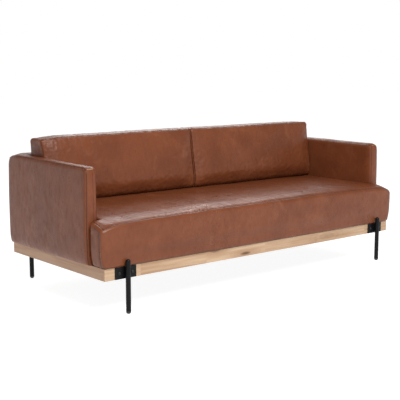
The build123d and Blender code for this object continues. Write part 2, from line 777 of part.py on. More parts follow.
def cushion_envelope(inset):
    """Left back cushion: a wedge that leans back, with rounded long edges."""
    with BuildPart() as cushion:
        with BuildSketch(Plane.YZ.offset(-CUSHION_OUTER_X + inset)) as side:
            with BuildLine():
                Polyline(
                    (CUSHION_FRONT_BOTTOM_Y + inset, CUSHION_BOTTOM + inset),
                    (CUSHION_FRONT_TOP_Y + inset, CUSHION_TOP - inset),
                    (CUSHION_REAR_Y - inset, CUSHION_TOP - inset),
                    (CUSHION_REAR_Y - inset, CUSHION_BOTTOM + inset),
                    close=True,
                )
            make_face()
            fillet(side.vertices().sort_by(Axis.Y)[2:], CUSHION_ROUND - inset)
            fillet(side.vertices().sort_by(Axis.Y)[:2], SHELL_EDGE_RADIUS - inset)
        extrude(amount=CUSHION_OUTER_X - CUSHION_INNER_X - 2 * inset)
    return cushion.part


def make_cushion(side, plane):
    """Core, leather cover and zip chain of one back cushion; plane mirrors it, if given."""
    zip_span = (-CUSHION_OUTER_X + ZIP_END_GAP, -CUSHION_INNER_X - ZIP_END_GAP)
    with BuildPart() as core:
        add(cushion_envelope(LEATHER + FIT_GAP))
    with BuildPart() as cover:
        add(cushion_envelope(0))
        add(cushion_envelope(LEATHER), mode=Mode.SUBTRACT)
        block(
            zip_span,
            (CUSHION_REAR_Y - 2 * LEATHER, CUSHION_REAR_Y + LEATHER),
            (ZIP_Z - ZIP_WIDTH / 2, ZIP_Z + ZIP_WIDTH / 2),
            mode=Mode.SUBTRACT,
        )
    with BuildPart() as chain:
        block(
            (zip_span[0] + FIT_GAP, zip_span[1] - FIT_GAP),
            (CUSHION_REAR_Y - LEATHER, CUSHION_REAR_Y),
            (ZIP_Z - ZIP_WIDTH / 2 + FIT_GAP, ZIP_Z + ZIP_WIDTH / 2 - FIT_GAP),
        )
    with BuildPart() as slider:
        slider_y = CUSHION_REAR_Y + SLIDE_GAP
        start_x = zip_span[1] - SLIDER_LENGTH
        block(
            (start_x, start_x + SLIDER_LENGTH),
            (slider_y, slider_y + SLIDER_THICK),
            (ZIP_Z - SLIDER_WIDTH / 2, ZIP_Z + SLIDER_WIDTH / 2),
        )
        fillet(slider.edges().filter_by(Axis.Y), SLIDER_THICK / 2)
        middle_x = start_x + SLIDER_LENGTH / 2
        block(
            (middle_x - SLIDER_THICK, middle_x + SLIDER_THICK),
            (slider_y + SLIDER_THICK, slider_y + SLIDER_THICK + PULL_THICK),
            (ZIP_Z - PULL_LENGTH, ZIP_Z + SLIDER_THICK / 2),
        )
        with Locations((middle_x, slider_y + SLIDER_THICK, ZIP_Z - PULL_LENGTH + SLIDER_THICK)):
            Cylinder(
                PULL_THICK, 4 * PULL_THICK, rotation=(90, 0, 0), mode=Mode.SUBTRACT
            )
    pieces = {
        "back_cushion_core": core,
        "back_cushion_cover": cover,
        "back_cushion_zip_chain": chain,
        "back_cushion_zip_slider": slider,
    }
    for name, piece in pieces.items():
        if plane is None:
            save(piece, side + "_" + name)
        else:
            save_mirrored(piece, side + "_" + name, plane)


# ---------------------------------------------------------------- the whole sofa

make_base_long_rails()
make_base_side_rails()
make_base_cross_rails()
make_base_corner_blocks()
make_dust_cover()
make_legs()
make_leg_bolts()
make_leg_tee_nuts()
make_seat_front_rail()
make_seat_rear_rail()
make_seat_end_rails()
make_seat_centre_brace()
make_seat_springs()
make_seat_spring_clips()
make_seat_spring_pad()
make_seat_foam()
make_seat_cover()
make_arm_frame()
make_arm_upholstery()
make_back_frame()
make_back_upholstery()
make_body_bolts()
make_cushion("left", None)
make_cushion("right", Plane.YZ)
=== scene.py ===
"""Looks of a three-seat leather sofa on an oak plinth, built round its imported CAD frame."""

import math

import bpy
import bmesh
import numpy as np
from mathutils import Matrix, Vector, noise


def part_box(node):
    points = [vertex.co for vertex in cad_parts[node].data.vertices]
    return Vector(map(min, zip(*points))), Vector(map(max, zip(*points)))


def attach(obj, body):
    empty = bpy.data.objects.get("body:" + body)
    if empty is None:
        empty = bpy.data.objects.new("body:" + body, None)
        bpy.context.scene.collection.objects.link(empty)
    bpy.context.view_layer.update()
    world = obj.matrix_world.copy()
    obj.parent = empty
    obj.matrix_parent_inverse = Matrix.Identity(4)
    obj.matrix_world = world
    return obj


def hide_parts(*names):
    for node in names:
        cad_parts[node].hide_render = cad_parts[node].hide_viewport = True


bl_info = {
    "name": "Leather Sofa",
    "version": (1, 0, 0),
    "blender": (4, 5, 0),
    "location": "View3D > Sidebar > Sofa",
    "description": "Builds the leather, timber and metal of a three-seat sofa on its CAD frame",
    "category": "Object",
}

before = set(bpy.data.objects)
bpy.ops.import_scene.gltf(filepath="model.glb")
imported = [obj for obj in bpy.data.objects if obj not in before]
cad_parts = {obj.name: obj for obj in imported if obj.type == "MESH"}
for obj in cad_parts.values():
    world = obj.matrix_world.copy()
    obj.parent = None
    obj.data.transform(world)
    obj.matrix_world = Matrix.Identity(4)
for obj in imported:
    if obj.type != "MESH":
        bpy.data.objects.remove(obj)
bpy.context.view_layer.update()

BODY = "sofa_body"
SIDES = ("left", "right")
SEAT_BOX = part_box("seat_cover")
ARM_BOX = {side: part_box(side + "_arm_cover") for side in SIDES}
BACK_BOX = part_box("back_cover")
CUSHION_BOX = {side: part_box(side + "_back_cushion_cover") for side in SIDES}
# How far the leather's lower edge settles towards the top of the oak.
LOWER_EDGE = 0.0015
# Radius of a leather edge that isn't rounded on purpose.
PLAIN_EDGE = 0.004
# Distance given to a vertex that isn't near a seam.
FAR = 1.0
# Frames that the cushions take to fill.
FILL_FRAMES = 20

FLOAT = "NodeSocketFloat"
COLOUR = "NodeSocketColor"
VECTOR = "NodeSocketVector"


# ---------------------------------------------------------------- what a user would change


class SofaShapeSettings(bpy.types.PropertyGroup):
    """Sizes of the upholstery."""

    voxel: bpy.props.FloatProperty(
        name="Mesh size", description="Spacing of the upholstery meshes",
        default=0.008, min=0.005, max=0.02, unit="LENGTH",
    )
    seat_edge: bpy.props.FloatProperty(
        name="Seat edge", description="Radius of the seat's front and side edges",
        default=0.026, min=0.01, max=0.06, unit="LENGTH",
    )
    seat_crown: bpy.props.FloatProperty(
        name="Seat crown", description="How far the seat's front edge drops towards its corners",
        default=0.026, min=0.0, max=0.05, unit="LENGTH",
    )
    shell_edge: bpy.props.FloatProperty(
        name="Arm edge", description="Radius of the arm's and the back's long edges",
        default=0.018, min=0.005, max=0.03, unit="LENGTH",
    )
    arm_corner: bpy.props.FloatProperty(
        name="Arm corner", description="Radius of the arm's top front corner",
        default=0.042, min=0.02, max=0.08, unit="LENGTH",
    )
    rear_corner: bpy.props.FloatProperty(
        name="Rear corner", description="Radius of the shell's rear corners, seen from above",
        default=0.045, min=0.02, max=0.07, unit="LENGTH",
    )
    shell_bulge: bpy.props.FloatProperty(
        name="Panel bulge", description="How far the arm and back panels swell between their edges",
        default=0.009, min=0.0, max=0.012, unit="LENGTH",
    )
    cushion_pressure: bpy.props.FloatProperty(
        name="Cushion pressure", description="Pressure that fills the back cushions",
        default=4.0, min=1.0, max=10.0,
    )
    cushion_swell: bpy.props.FloatProperty(
        name="Cushion swell", description="Most that a cushion panel may move as it fills",
        default=0.024, min=0.005, max=0.04, unit="LENGTH",
    )
    stitch_pitch: bpy.props.FloatProperty(
        name="Stitch pitch", description="Distance from one stitch to the next",
        default=0.006, min=0.003, max=0.012, unit="LENGTH",
    )


class SofaFinishSettings(bpy.types.PropertyGroup):
    """Colours of the finishes."""

    leather: bpy.props.FloatVectorProperty(
        name="Leather", description="Colour of the leather in the light", subtype="COLOR",
        size=3, default=(0.166, 0.0475, 0.0175), min=0.0, max=1.0,
    )
    leather_dark: bpy.props.FloatVectorProperty(
        name="Leather shade", description="Colour of the darker patches of the leather",
        subtype="COLOR", size=3, default=(0.098, 0.024, 0.008), min=0.0, max=1.0,
    )
    leather_worn: bpy.props.FloatVectorProperty(
        name="Leather pull-up", description="Colour of the paler, stretched patches of the leather",
        subtype="COLOR", size=3, default=(0.235, 0.083, 0.038), min=0.0, max=1.0,
    )
    thread: bpy.props.FloatVectorProperty(
        name="Thread", description="Colour of the stitching", subtype="COLOR",
        size=3, default=(0.16, 0.055, 0.026), min=0.0, max=1.0,
    )
    oak: bpy.props.FloatVectorProperty(
        name="Oak", description="Colour of the light oak", subtype="COLOR",
        size=3, default=(0.475, 0.325, 0.205), min=0.0, max=1.0,
    )
    oak_grain: bpy.props.FloatVectorProperty(
        name="Oak grain", description="Colour of the oak's grain lines and knots",
        subtype="COLOR", size=3, default=(0.26, 0.132, 0.060), min=0.0, max=1.0,
    )
    paint: bpy.props.FloatVectorProperty(
        name="Leg paint", description="Colour of the powder coat on the legs", subtype="COLOR",
        size=3, default=(0.004, 0.004, 0.0045), min=0.0, max=1.0,
    )


# ---------------------------------------------------------------- mesh helpers


def shape_settings():
    """The sizes held by the scene."""
    return bpy.context.scene.sofa_shape


def finish_settings():
    """The colours held by the scene."""
    return bpy.context.scene.sofa_finish


def mesh_coords(mesh):
    """Vertex positions as an N by 3 array."""
    coords = np.empty(len(mesh.vertices) * 3, np.float64)
    mesh.vertices.foreach_get("co", coords)
    return coords.reshape(-1, 3)


def set_mesh_coords(mesh, coords):
    """Write vertex positions back."""
    mesh.vertices.foreach_set("co", coords.astype(np.float32).ravel())
    mesh.update()


def baked(obj):
    """Replace the object's mesh with its evaluated one and drop its modifiers."""
    depsgraph = bpy.context.evaluated_depsgraph_get()
    depsgraph.update()
    mesh = bpy.data.meshes.new_from_object(obj.evaluated_get(depsgraph))
    old = obj.data
    obj.modifiers.clear()
    obj.data = mesh
    bpy.data.meshes.remove(old)
    mesh.name = obj.name
    return obj


def new_object(name, mesh):
    """Link a mesh to the scene as an object at the origin."""
    obj = bpy.data.objects.new(name, mesh)
    bpy.context.scene.collection.objects.link(obj)
    return obj


def smoothstep(low, high, value):
    """0 below low, 1 above high, with a smooth change between them."""
    t = np.clip((value - low) / (high - low), 0.0, 1.0)
    return t * t * (3.0 - 2.0 * t)


def arch(low, high, value):
    """1 in the middle of a span, falling smoothly to 0 at both of its ends."""
    t = np.clip((value - low) / (high - low), 0.0, 1.0)
    return 1.0 - (2.0 * t - 1.0) ** 4


def mesh_normals(mesh):
    """Vertex normals as an N by 3 array."""
    normals = np.empty(len(mesh.vertices) * 3, np.float32)
    mesh.vertex_normals.foreach_get("vector", normals)
    return normals.reshape(-1, 3).astype(np.float64)


def press_seam(obj, away, depth, width, pucker):
    """Press a sewn line into the piece, puff the leather up beside it and gather it a little."""
    points = mesh_coords(obj.data)
    gather_size, gather_reach, puff_share = 0.018, 0.022, 0.35
    groove = np.exp(-((away / width) ** 2))
    puff = puff_share * np.exp(-(((np.abs(away) - 2.6 * width) / (1.4 * width)) ** 2))
    gathers = soft_noise(points, gather_size, 41) * np.exp(-np.abs(away) / gather_reach)
    gathers *= 1.0 - groove
    move = pucker * gathers - depth * (groove - puff)
    points += mesh_normals(obj.data) * move[:, None]
    set_mesh_coords(obj.data, points)


def settle_edge(points, bottom):
    """Let the leather's lower edge settle towards the oak."""
    points[:, 2] -= LOWER_EDGE * smoothstep(bottom + 0.02, bottom + 0.001, points[:, 2])


def face_letter(normal):
    """Name of the box face that a normal points out of, such as "+z"."""
    axis = max(range(3), key=lambda i: abs(normal[i]))
    return ("+" if normal[axis] > 0 else "-") + "xyz"[axis]


def rounded_box(name, low, high, radius, radii=None, lean=0.0, segments=6):
    """Closed box whose edges are rounded; radii gives single edges by their two faces.

    lean moves the top edge of the front face back.
    """
    radii = radii or {}
    mesh = bpy.data.meshes.new(name)
    work = bmesh.new()
    bmesh.ops.create_cube(work, size=1.0)
    centre = (Vector(low) + Vector(high)) / 2
    size = Vector(high) - Vector(low)
    for vert in work.verts:
        vert.co = Vector(centre[i] + vert.co[i] * size[i] for i in range(3))
        if lean and vert.co.y < centre.y and vert.co.z > centre.z:
            vert.co.y += lean
    work.normal_update()
    weights = work.edges.layers.float.new("bevel_weight_edge")
    widest = max([radius, *radii.values()])
    for edge in work.edges:
        key = frozenset(face_letter(face.normal) for face in edge.link_faces)
        edge[weights] = radii.get(key, radius) / widest
    work.to_mesh(mesh)
    work.free()
    obj = new_object(name, mesh)
    bevel = obj.modifiers.new("round", "BEVEL")
    bevel.limit_method = "WEIGHT"
    bevel.width = widest
    bevel.segments = segments
    return baked(obj)


def edge_of(first, second):
    """Key of a box edge in rounded_box's radii."""
    return frozenset((first, second))


def merged_skin(name, blocks, voxel):
    """One even skin round several overlapping blocks."""
    work = bmesh.new()
    for block in blocks:
        work.from_mesh(block.data)
    mesh = bpy.data.meshes.new(name)
    work.to_mesh(mesh)
    work.free()
    for block in blocks:
        bpy.data.objects.remove(block)
    obj = new_object(name, mesh)
    remesh = obj.modifiers.new("skin", "REMESH")
    remesh.mode = "VOXEL"
    remesh.voxel_size = voxel
    smooth = obj.modifiers.new("relax", "SMOOTH")
    smooth.factor = 0.5
    smooth.iterations = 3
    return baked(obj)


def inflate(obj, pressure, cap, held):
    """Fill a padded piece with cloth pressure; held is 1 where a vertex stays put."""
    scene = bpy.context.scene
    rest = mesh_coords(obj.data)
    group = obj.vertex_groups.new(name="held")
    for level in np.unique(np.round(held, 1)):
        if level > 0:
            group.add(np.nonzero(np.round(held, 1) == level)[0].tolist(), float(level), "REPLACE")
    cloth = obj.modifiers.new("fill", "CLOTH")
    settings = cloth.settings
    settings.quality = 4
    settings.mass = 0.3
    settings.tension_stiffness = 15.0
    settings.compression_stiffness = 15.0
    settings.shear_stiffness = 8.0
    settings.bending_stiffness = 2.0
    settings.use_pressure = True
    settings.uniform_pressure_force = pressure
    settings.effector_weights.gravity = 0.0
    settings.vertex_group_mass = "held"
    cloth.collision_settings.use_collision = False
    cloth.point_cache.frame_start = 1
    cloth.point_cache.frame_end = FILL_FRAMES
    for step in range(1, FILL_FRAMES + 1):
        scene.frame_set(step)
    depsgraph = bpy.context.evaluated_depsgraph_get()
    filled = mesh_coords(obj.evaluated_get(depsgraph).data)
    obj.modifiers.remove(cloth)
    obj.vertex_groups.clear()
    scene.frame_set(1)
    move = filled - rest
    length = np.maximum(np.linalg.norm(move, axis=1), 1e-9)
    limited = cap * np.tanh(length / cap)
    set_mesh_coords(obj.data, rest + move * (limited / length)[:, None])
    return obj


def shade_smooth(obj):
    """Smooth shading over the whole piece."""
    obj.data.polygons.foreach_set("use_smooth", [True] * len(obj.data.polygons))
    obj.data.update()


def store(mesh, name, values):
    """Keep one number for each vertex as a named attribute."""
    attribute = mesh.attributes.get(name) or mesh.attributes.new(name, "FLOAT", "POINT")
    attribute.data.foreach_set("value", np.asarray(values, np.float32))


def waviness(points, layers):
    """Sum of layers of soft noise, each given by its size, its seed and its height."""
    return sum(soft_noise(points, size, seed) * height for size, seed, height in layers)


def stored(mesh, name):
    """One number for each vertex, read from a named attribute."""
    values = np.empty(len(mesh.vertices), np.float32)
    mesh.attributes[name].data.foreach_get("value", values)
    return values.astype(np.float64)


def soft_noise(points, size, seed):
    """Smooth noise from -1 to 1 with features of about the given size."""
    offset = Vector((seed * 7.31, seed * 3.77, seed * 1.93))
    return np.array([noise.noise(Vector(p) / size + offset) for p in points])


def contour(name, obj, level, flat_step=0.02):
    """Polyline object along the surface at one distance from the sewn lines."""
    mesh = obj.data
    points = mesh_coords(mesh)
    away = stored(mesh, "seam") - level
    crossing = {}
    verts = []
    for edge in mesh.edges:
        first, second = edge.vertices
        a, b = away[first], away[second]
        if (a < 0.0) != (b < 0.0) and abs(a - b) < flat_step:
            share = a / (a - b)
            crossing[edge.index] = len(verts)
            verts.append(points[first] + (points[second] - points[first]) * share)
    loops = np.empty(len(mesh.loops), np.int32)
    mesh.loops.foreach_get("edge_index", loops)
    links = []
    for face in mesh.polygons:
        start = face.loop_start
        found = [crossing[e] for e in loops[start:start + face.loop_total] if e in crossing]
        if len(found) == 2:
            links.append(found)
    line = bpy.data.meshes.new(name)
    line.from_pydata([tuple(v) for v in verts], links, [])
    return new_object(name, line)


def repeat_tree(name):
    """Geometry Nodes that lay a small part along a line at an even pitch."""
    if name in bpy.data.node_groups:
        return bpy.data.node_groups[name]
    tree = bpy.data.node_groups.new(name, "GeometryNodeTree")
    tree.interface.new_socket(name="Line", in_out="INPUT", socket_type="NodeSocketGeometry")
    sizes = {"Pitch": 0.006, "Length": 0.004, "Width": 0.0009, "Height": 0.0009}
    for label, default in sizes.items():
        socket = tree.interface.new_socket(name=label, in_out="INPUT", socket_type=FLOAT)
        socket.default_value = default
    tree.interface.new_socket(name="Finish", in_out="INPUT", socket_type="NodeSocketMaterial")
    tree.interface.new_socket(name="Parts", in_out="OUTPUT", socket_type="NodeSocketGeometry")
    b = NodeBuilder(tree)
    start, end = tree.nodes.new("NodeGroupInput"), tree.nodes.new("NodeGroupOutput")
    curve = b.node("GeometryNodeMeshToCurve", {"Mesh": start.outputs["Line"]})
    even = b.node(
        "GeometryNodeResampleCurve", {"Curve": curve.outputs[0], "Length": start.outputs["Pitch"]},
        mode="LENGTH",
    )
    ball = b.node("GeometryNodeMeshUVSphere", {"Segments": 6, "Rings": 4, "Radius": 0.5})
    size = b.node(
        "ShaderNodeCombineXYZ",
        {0: start.outputs["Length"], 1: start.outputs["Width"], 2: start.outputs["Height"]},
    )
    part = b.node("GeometryNodeTransform", {"Geometry": ball.outputs[0], "Scale": size.outputs[0]})
    tangent = b.node("GeometryNodeInputTangent")
    turn = b.node("FunctionNodeAlignRotationToVector", {"Vector": tangent.outputs[0]}, axis="X")
    laid = b.node(
        "GeometryNodeInstanceOnPoints",
        {"Points": even.outputs[0], "Instance": part.outputs[0], "Rotation": turn.outputs[0]},
    )
    real = b.node("GeometryNodeRealizeInstances", {0: laid.outputs[0]})
    painted = b.node(
        "GeometryNodeSetMaterial",
        {"Geometry": real.outputs[0], "Material": start.outputs["Finish"]},
    )
    tree.links.new(painted.outputs[0], end.inputs[0])
    return tree


def repeated(line, finish, **sizes):
    """Bake small parts laid along a line into the line's own object."""
    tree = repeat_tree("Parts along a line")
    modifier = line.modifiers.new("repeat", "NODES")
    modifier.node_group = tree
    for item in tree.interface.items_tree:
        if item.in_out == "INPUT" and item.name in sizes:
            modifier[item.identifier] = sizes[item.name]
        if item.in_out == "INPUT" and item.name == "Finish":
            modifier[item.identifier] = finish
    baked(line)
    shade_smooth(line)
    return line


def stitch(piece, name, level, body):
    """Sew a row of stitches beside a piece's seams."""
    thread = bpy.data.materials.get("thread")
    if thread is None:
        thread = plain_material("thread", tuple(finish_settings().thread), 0.6, grain=2500.0)
    row = repeated(
        contour(name, piece, level), thread, Pitch=shape_settings().stitch_pitch,
        Length=0.0042, Width=0.0010, Height=0.0010,
    )
    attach(row, body)


# ---------------------------------------------------------------- node helpers


class NodeBuilder:
    """Adds and links nodes in one tree."""

    def __init__(self, tree):
        self.tree = tree

    def node(self, kind, values=None, **settings):
        """A node with its properties set and its inputs given or linked by name or number."""
        made = self.tree.nodes.new(kind)
        for key, value in settings.items():
            setattr(made, key, value)
        return self.feed(made, values or {})

    def feed(self, made, values):
        """Set or link a node's inputs by name or number."""
        for key, value in values.items():
            if isinstance(value, bpy.types.NodeSocket):
                self.tree.links.new(value, made.inputs[key])
            else:
                made.inputs[key].default_value = value
        return made

    def math(self, operation, first, second=0.0, clamp=False):
        """Output of a Math node."""
        made = self.node("ShaderNodeMath", {0: first, 1: second}, operation=operation)
        made.use_clamp = clamp
        return made.outputs[0]

    def mix_colour(self, factor, first, second):
        """Output of a Mix node set to colour."""
        made = self.node("ShaderNodeMix", data_type="RGBA")
        return self.feed(made, {0: factor, 6: first, 7: second}).outputs[2]

    def mix_share(self, mask, share, first, second):
        """Colour mixed by a mask that counts for a share at most."""
        return self.mix_colour(self.math("MULTIPLY", mask, share), first, second)

    def vector_math(self, operation, first, second):
        """Vector output of a Vector Math node."""
        made = self.node("ShaderNodeVectorMath", {0: first, 1: second}, operation=operation)
        return made.outputs[0]

    def bump(self, height, strength, distance):
        """Normal output of a Bump node."""
        values = {"Height": height, "Strength": strength, "Distance": distance}
        return self.node("ShaderNodeBump", values).outputs[0]

    def ramp(self, factor, low, high):
        """0 below low and 1 above high, eased between them."""
        made = self.node(
            "ShaderNodeMapRange", {0: factor, 1: low, 2: high, 3: 0.0, 4: 1.0},
            interpolation_type="SMOOTHSTEP",
        )
        return made.outputs[0]

    def fade(self, factor, low, high):
        """1 below low and 0 above high, eased between them."""
        return self.math("SUBTRACT", 1.0, self.ramp(factor, low, high))

    def noise(self, vector, scale, detail=2.0, roughness=0.5, distortion=0.0):
        """Fac output of a Noise node."""
        made = self.node(
            "ShaderNodeTexNoise",
            {"Vector": vector, "Scale": scale, "Detail": detail, "Roughness": roughness,
             "Distortion": distortion},
        )
        return made.outputs[0]

    def stretched(self, vector, scale):
        """The vector scaled on each axis."""
        return self.node("ShaderNodeMapping", {"Vector": vector, "Scale": scale}).outputs[0]


def new_group(name, inputs, outputs):
    """A shader node group with its sockets, and the ends to build between."""
    tree = bpy.data.node_groups.new(name, "ShaderNodeTree")
    for label, kind, default in inputs:
        socket = tree.interface.new_socket(name=label, in_out="INPUT", socket_type=kind)
        if default is not None:
            socket.default_value = default
    for label, kind in outputs:
        tree.interface.new_socket(name=label, in_out="OUTPUT", socket_type=kind)
    return tree, tree.nodes.new("NodeGroupInput"), tree.nodes.new("NodeGroupOutput")


def hide_group(name):
    """Leather hide: patchy colour, soft creases and fine pebble grain."""
    tree, start, end = new_group(
        name,
        [("Vector", VECTOR, None), ("Colour", COLOUR, (0.25, 0.1, 0.05, 1)),
         ("Shade", COLOUR, (0.15, 0.05, 0.03, 1)), ("Worn", COLOUR, (0.3, 0.15, 0.08, 1)),
         ("Patches", FLOAT, 0.6), ("Creases", FLOAT, 1.0), ("Along", VECTOR, (1.0, 1.0, 0.3))],
        [("Colour", COLOUR), ("Roughness", FLOAT), ("Height", FLOAT)],
    )
    b = NodeBuilder(tree)
    vector = start.outputs["Vector"]
    broad = b.ramp(b.noise(vector, 5.0, 3.0, 0.55, 0.4), 0.35, 0.7)
    medium = b.ramp(b.noise(b.stretched(vector, (1.0, 1.0, 0.6)), 24.0, 4.0, 0.6), 0.3, 0.75)
    fine = b.noise(vector, 160.0, 3.0, 0.6)
    drawn = b.vector_math("MULTIPLY", vector, start.outputs["Along"])
    streak = b.ramp(b.noise(drawn, 55.0, 4.0, 0.65), 0.38, 0.72)
    glow = b.ramp(b.noise(vector, 8.0, 3.0, 0.6, 0.8), 0.55, 0.8)
    colour = start.outputs["Colour"]
    for mask, share, other in (
        (broad, start.outputs["Patches"], "Shade"),
        (medium, 0.22, "Shade"),
        (b.ramp(fine, 0.45, 0.8), 0.10, "Colour"),
        (streak, 0.30, "Shade"),
        (glow, 0.42, "Worn"),
    ):
        colour = b.mix_share(mask, share, colour, start.outputs[other])
    pebble = b.node(
        "ShaderNodeTexVoronoi", {"Vector": vector, "Scale": 620.0}, feature="SMOOTH_F1"
    ).outputs["Distance"]
    folds = b.noise(drawn, 22.0, 3.0, 0.55, 1.2)
    ridge = b.math("ABSOLUTE", b.math("SUBTRACT", folds, 0.5))
    line = b.fade(ridge, 0.0, 0.035)
    where = b.ramp(b.noise(vector, 3.5, 2.0), 0.46, 0.66)
    crease = b.math("MULTIPLY", b.math("MULTIPLY", line, where), start.outputs["Creases"])
    height = b.math("MULTIPLY", b.noise(vector, 9.0, 2.0), 2.2)
    height = b.math("SUBTRACT", height, b.math("MULTIPLY", crease, 0.45))
    for relief, share in ((pebble, 0.09), (fine, 0.10)):
        height = b.math("ADD", height, b.math("MULTIPLY", relief, share))
    rough = b.math("ADD", 0.26, b.math("MULTIPLY", medium, 0.14))
    rough = b.math("ADD", rough, b.math("MULTIPLY", streak, 0.14))
    b.feed(end, {"Colour": colour, "Roughness": rough, "Height": height})
    return tree


def seam_group(name):
    """Groove along a seam and the mask of the painted shade in it, from the distance to it in
    metres.
    """
    tree, start, end = new_group(
        name,
        [("Distance", FLOAT, 1.0), ("Width", FLOAT, 0.0025), ("Depth", FLOAT, 1.0)],
        [("Mask", FLOAT), ("Height", FLOAT)],
    )
    b = NodeBuilder(tree)
    away = b.math("ABSOLUTE", start.outputs["Distance"])
    share = b.math("DIVIDE", away, start.outputs["Width"])
    groove = b.fade(share, 0.0, 1.0)
    shoulder = b.fade(share, 0.8, 3.6)
    height = b.math("SUBTRACT", b.math("MULTIPLY", shoulder, 0.5), groove)
    height = b.math("MULTIPLY", height, start.outputs["Depth"])
    b.feed(end, {"Mask": groove, "Height": height})
    return tree


# Each knot of the front rail: how far along and how high it is, how tight it is on each axis,
# and how dark its heart is.
OAK_KNOTS = {
    "First knot": ((-0.146, 0.186), (2.6, 3.0, 11.0), 0.95),
    "Second knot": ((-0.36, 0.230), (2.6, 3.0, 8.0), 0.7),
    "Third knot": ((0.50, 0.200), (1.5, 3.0, 5.0), 0.2),
}


def oak_group(name):
    """Light oak with its grain along the vector's X."""
    tree, start, end = new_group(
        name,
        [("Vector", VECTOR, None), ("Colour", COLOUR, (0.6, 0.4, 0.2, 1)),
         ("Grain", COLOUR, (0.3, 0.15, 0.07, 1)), ("Heart", COLOUR, (0.1, 0.045, 0.02, 1)),
         ("Stave", FLOAT, 0.42),
         *((label, VECTOR, (0.0, 0.0, 0.0)) for label in OAK_KNOTS)],
        [("Colour", COLOUR), ("Roughness", FLOAT), ("Height", FLOAT)],
    )
    b = NodeBuilder(tree)
    vector = start.outputs["Vector"]
    along = b.node("ShaderNodeSeparateXYZ", {0: vector}).outputs[0]
    count = b.math("DIVIDE", along, start.outputs["Stave"])
    stave = b.node(
        "ShaderNodeTexWhiteNoise", {"W": b.math("FLOOR", count)}, noise_dimensions="1D"
    )
    shifted = b.vector_math("ADD", vector, stave.outputs["Color"])
    warp = b.noise(b.stretched(shifted, (0.9, 6.0, 6.0)), 2.2, 3.0, 0.5)
    bands = b.noise(b.stretched(shifted, (1.6, 60.0, 60.0)), 1.0, 5.0, 0.62, 0.6)
    pores = b.noise(b.stretched(shifted, (22.0, 900.0, 900.0)), 1.0, 2.0, 0.6)
    knots = b.node(
        "ShaderNodeTexVoronoi", {"Vector": b.stretched(vector, (1.0, 1.6, 2.6)), "Scale": 2.6},
        feature="F1",
    ).outputs["Distance"]
    heart = b.math("MULTIPLY", b.fade(knots, 0.02, 0.10), 0.2)
    for label, (_, shape, depth) in OAK_KNOTS.items():
        off = b.vector_math("SUBTRACT", vector, start.outputs[label])
        beside = b.node(
            "ShaderNodeVectorMath", {0: b.stretched(off, shape)}, operation="LENGTH"
        ).outputs["Value"]
        knots = b.math("MINIMUM", knots, beside)
        core = b.math("MULTIPLY", b.fade(beside, 0.03, 0.13), depth)
        heart = b.math("MAXIMUM", heart, core)
    halo = b.fade(knots, 0.06, 0.40)
    waves = b.ramp(b.math("SINE", b.math("MULTIPLY", knots, 95.0)), 0.0, 1.0)
    age = b.math("MULTIPLY", b.math("SUBTRACT", stave.outputs["Value"], 0.3), 0.30, clamp=True)
    colour, grain = start.outputs["Colour"], start.outputs["Grain"]
    colour = b.mix_share(b.ramp(bands, 0.40, 0.70), 0.55, colour, grain)
    colour = b.mix_share(b.ramp(warp, 0.45, 0.70), 0.34, colour, grain)
    colour = b.mix_colour(age, colour, grain)
    colour = b.mix_share(b.math("MULTIPLY", halo, waves), 0.24, colour, grain)
    colour = b.mix_share(halo, 0.42, colour, grain)
    colour = b.mix_colour(heart, colour, start.outputs["Heart"])
    colour = b.mix_share(b.ramp(pores, 0.58, 0.72), 0.30, colour, grain)
    height = b.math("SUBTRACT", bands, b.math("MULTIPLY", b.ramp(pores, 0.55, 0.7), 0.6))
    rough = b.math("ADD", 0.46, b.math("MULTIPLY", bands, 0.16))
    b.feed(end, {"Colour": colour, "Roughness": rough, "Height": height})
    return tree


def new_material(name):
    """An empty node material with its shader and output, and a builder for the rest."""
    material = bpy.data.materials.new(name)
    material.use_nodes = True
    material.node_tree.nodes.clear()
    b = NodeBuilder(material.node_tree)
    shader = b.node("ShaderNodeBsdfPrincipled")
    b.node("ShaderNodeOutputMaterial", {0: shader.outputs[0]})
    return material, b, shader


def placed_group(b, name, build, values):
    """A node group, built once, placed in a material with its own values."""
    made = b.node("ShaderNodeGroup")
    made.node_tree = bpy.data.node_groups.get(name) or build(name)
    return b.feed(made, values)


def rgba(colour):
    """A colour with full alpha."""
    return (*colour, 1.0)


def object_coords(b):
    """Object coordinates, which are the sofa's own metres."""
    return b.node("ShaderNodeTexCoord").outputs["Object"]


def leather_material(name, creases, along):
    """Semi-gloss brown leather with a seam groove where the piece has one."""
    colours = finish_settings()
    material, b, shader = new_material(name)
    vector = object_coords(b)
    hide = placed_group(
        b, "Leather hide", hide_group,
        {"Vector": vector, "Colour": rgba(colours.leather), "Shade": rgba(colours.leather_dark),
         "Worn": rgba(colours.leather_worn), "Patches": 0.50, "Creases": creases,
         "Along": along},
    )
    away = b.node("ShaderNodeAttribute", attribute_name="seam").outputs["Fac"]
    seam = placed_group(
        b, "Seam line", seam_group, {"Distance": away, "Width": 0.0028, "Depth": 1.3}
    )
    # Painted shade: the seam groove is coloured nearly black, standing in for the shadow inside it.
    seam_shade = (0.03, 0.010, 0.006, 1)
    colour = b.mix_share(seam.outputs["Mask"], 0.75, hide.outputs["Colour"], seam_shade)
    height = b.math("ADD", hide.outputs["Height"], seam.outputs["Height"])
    b.feed(
        shader,
        {"Base Color": colour, "Roughness": hide.outputs["Roughness"],
         "Normal": b.bump(height, 1.0, 0.0014), "Specular IOR Level": 0.27},
    )
    return material


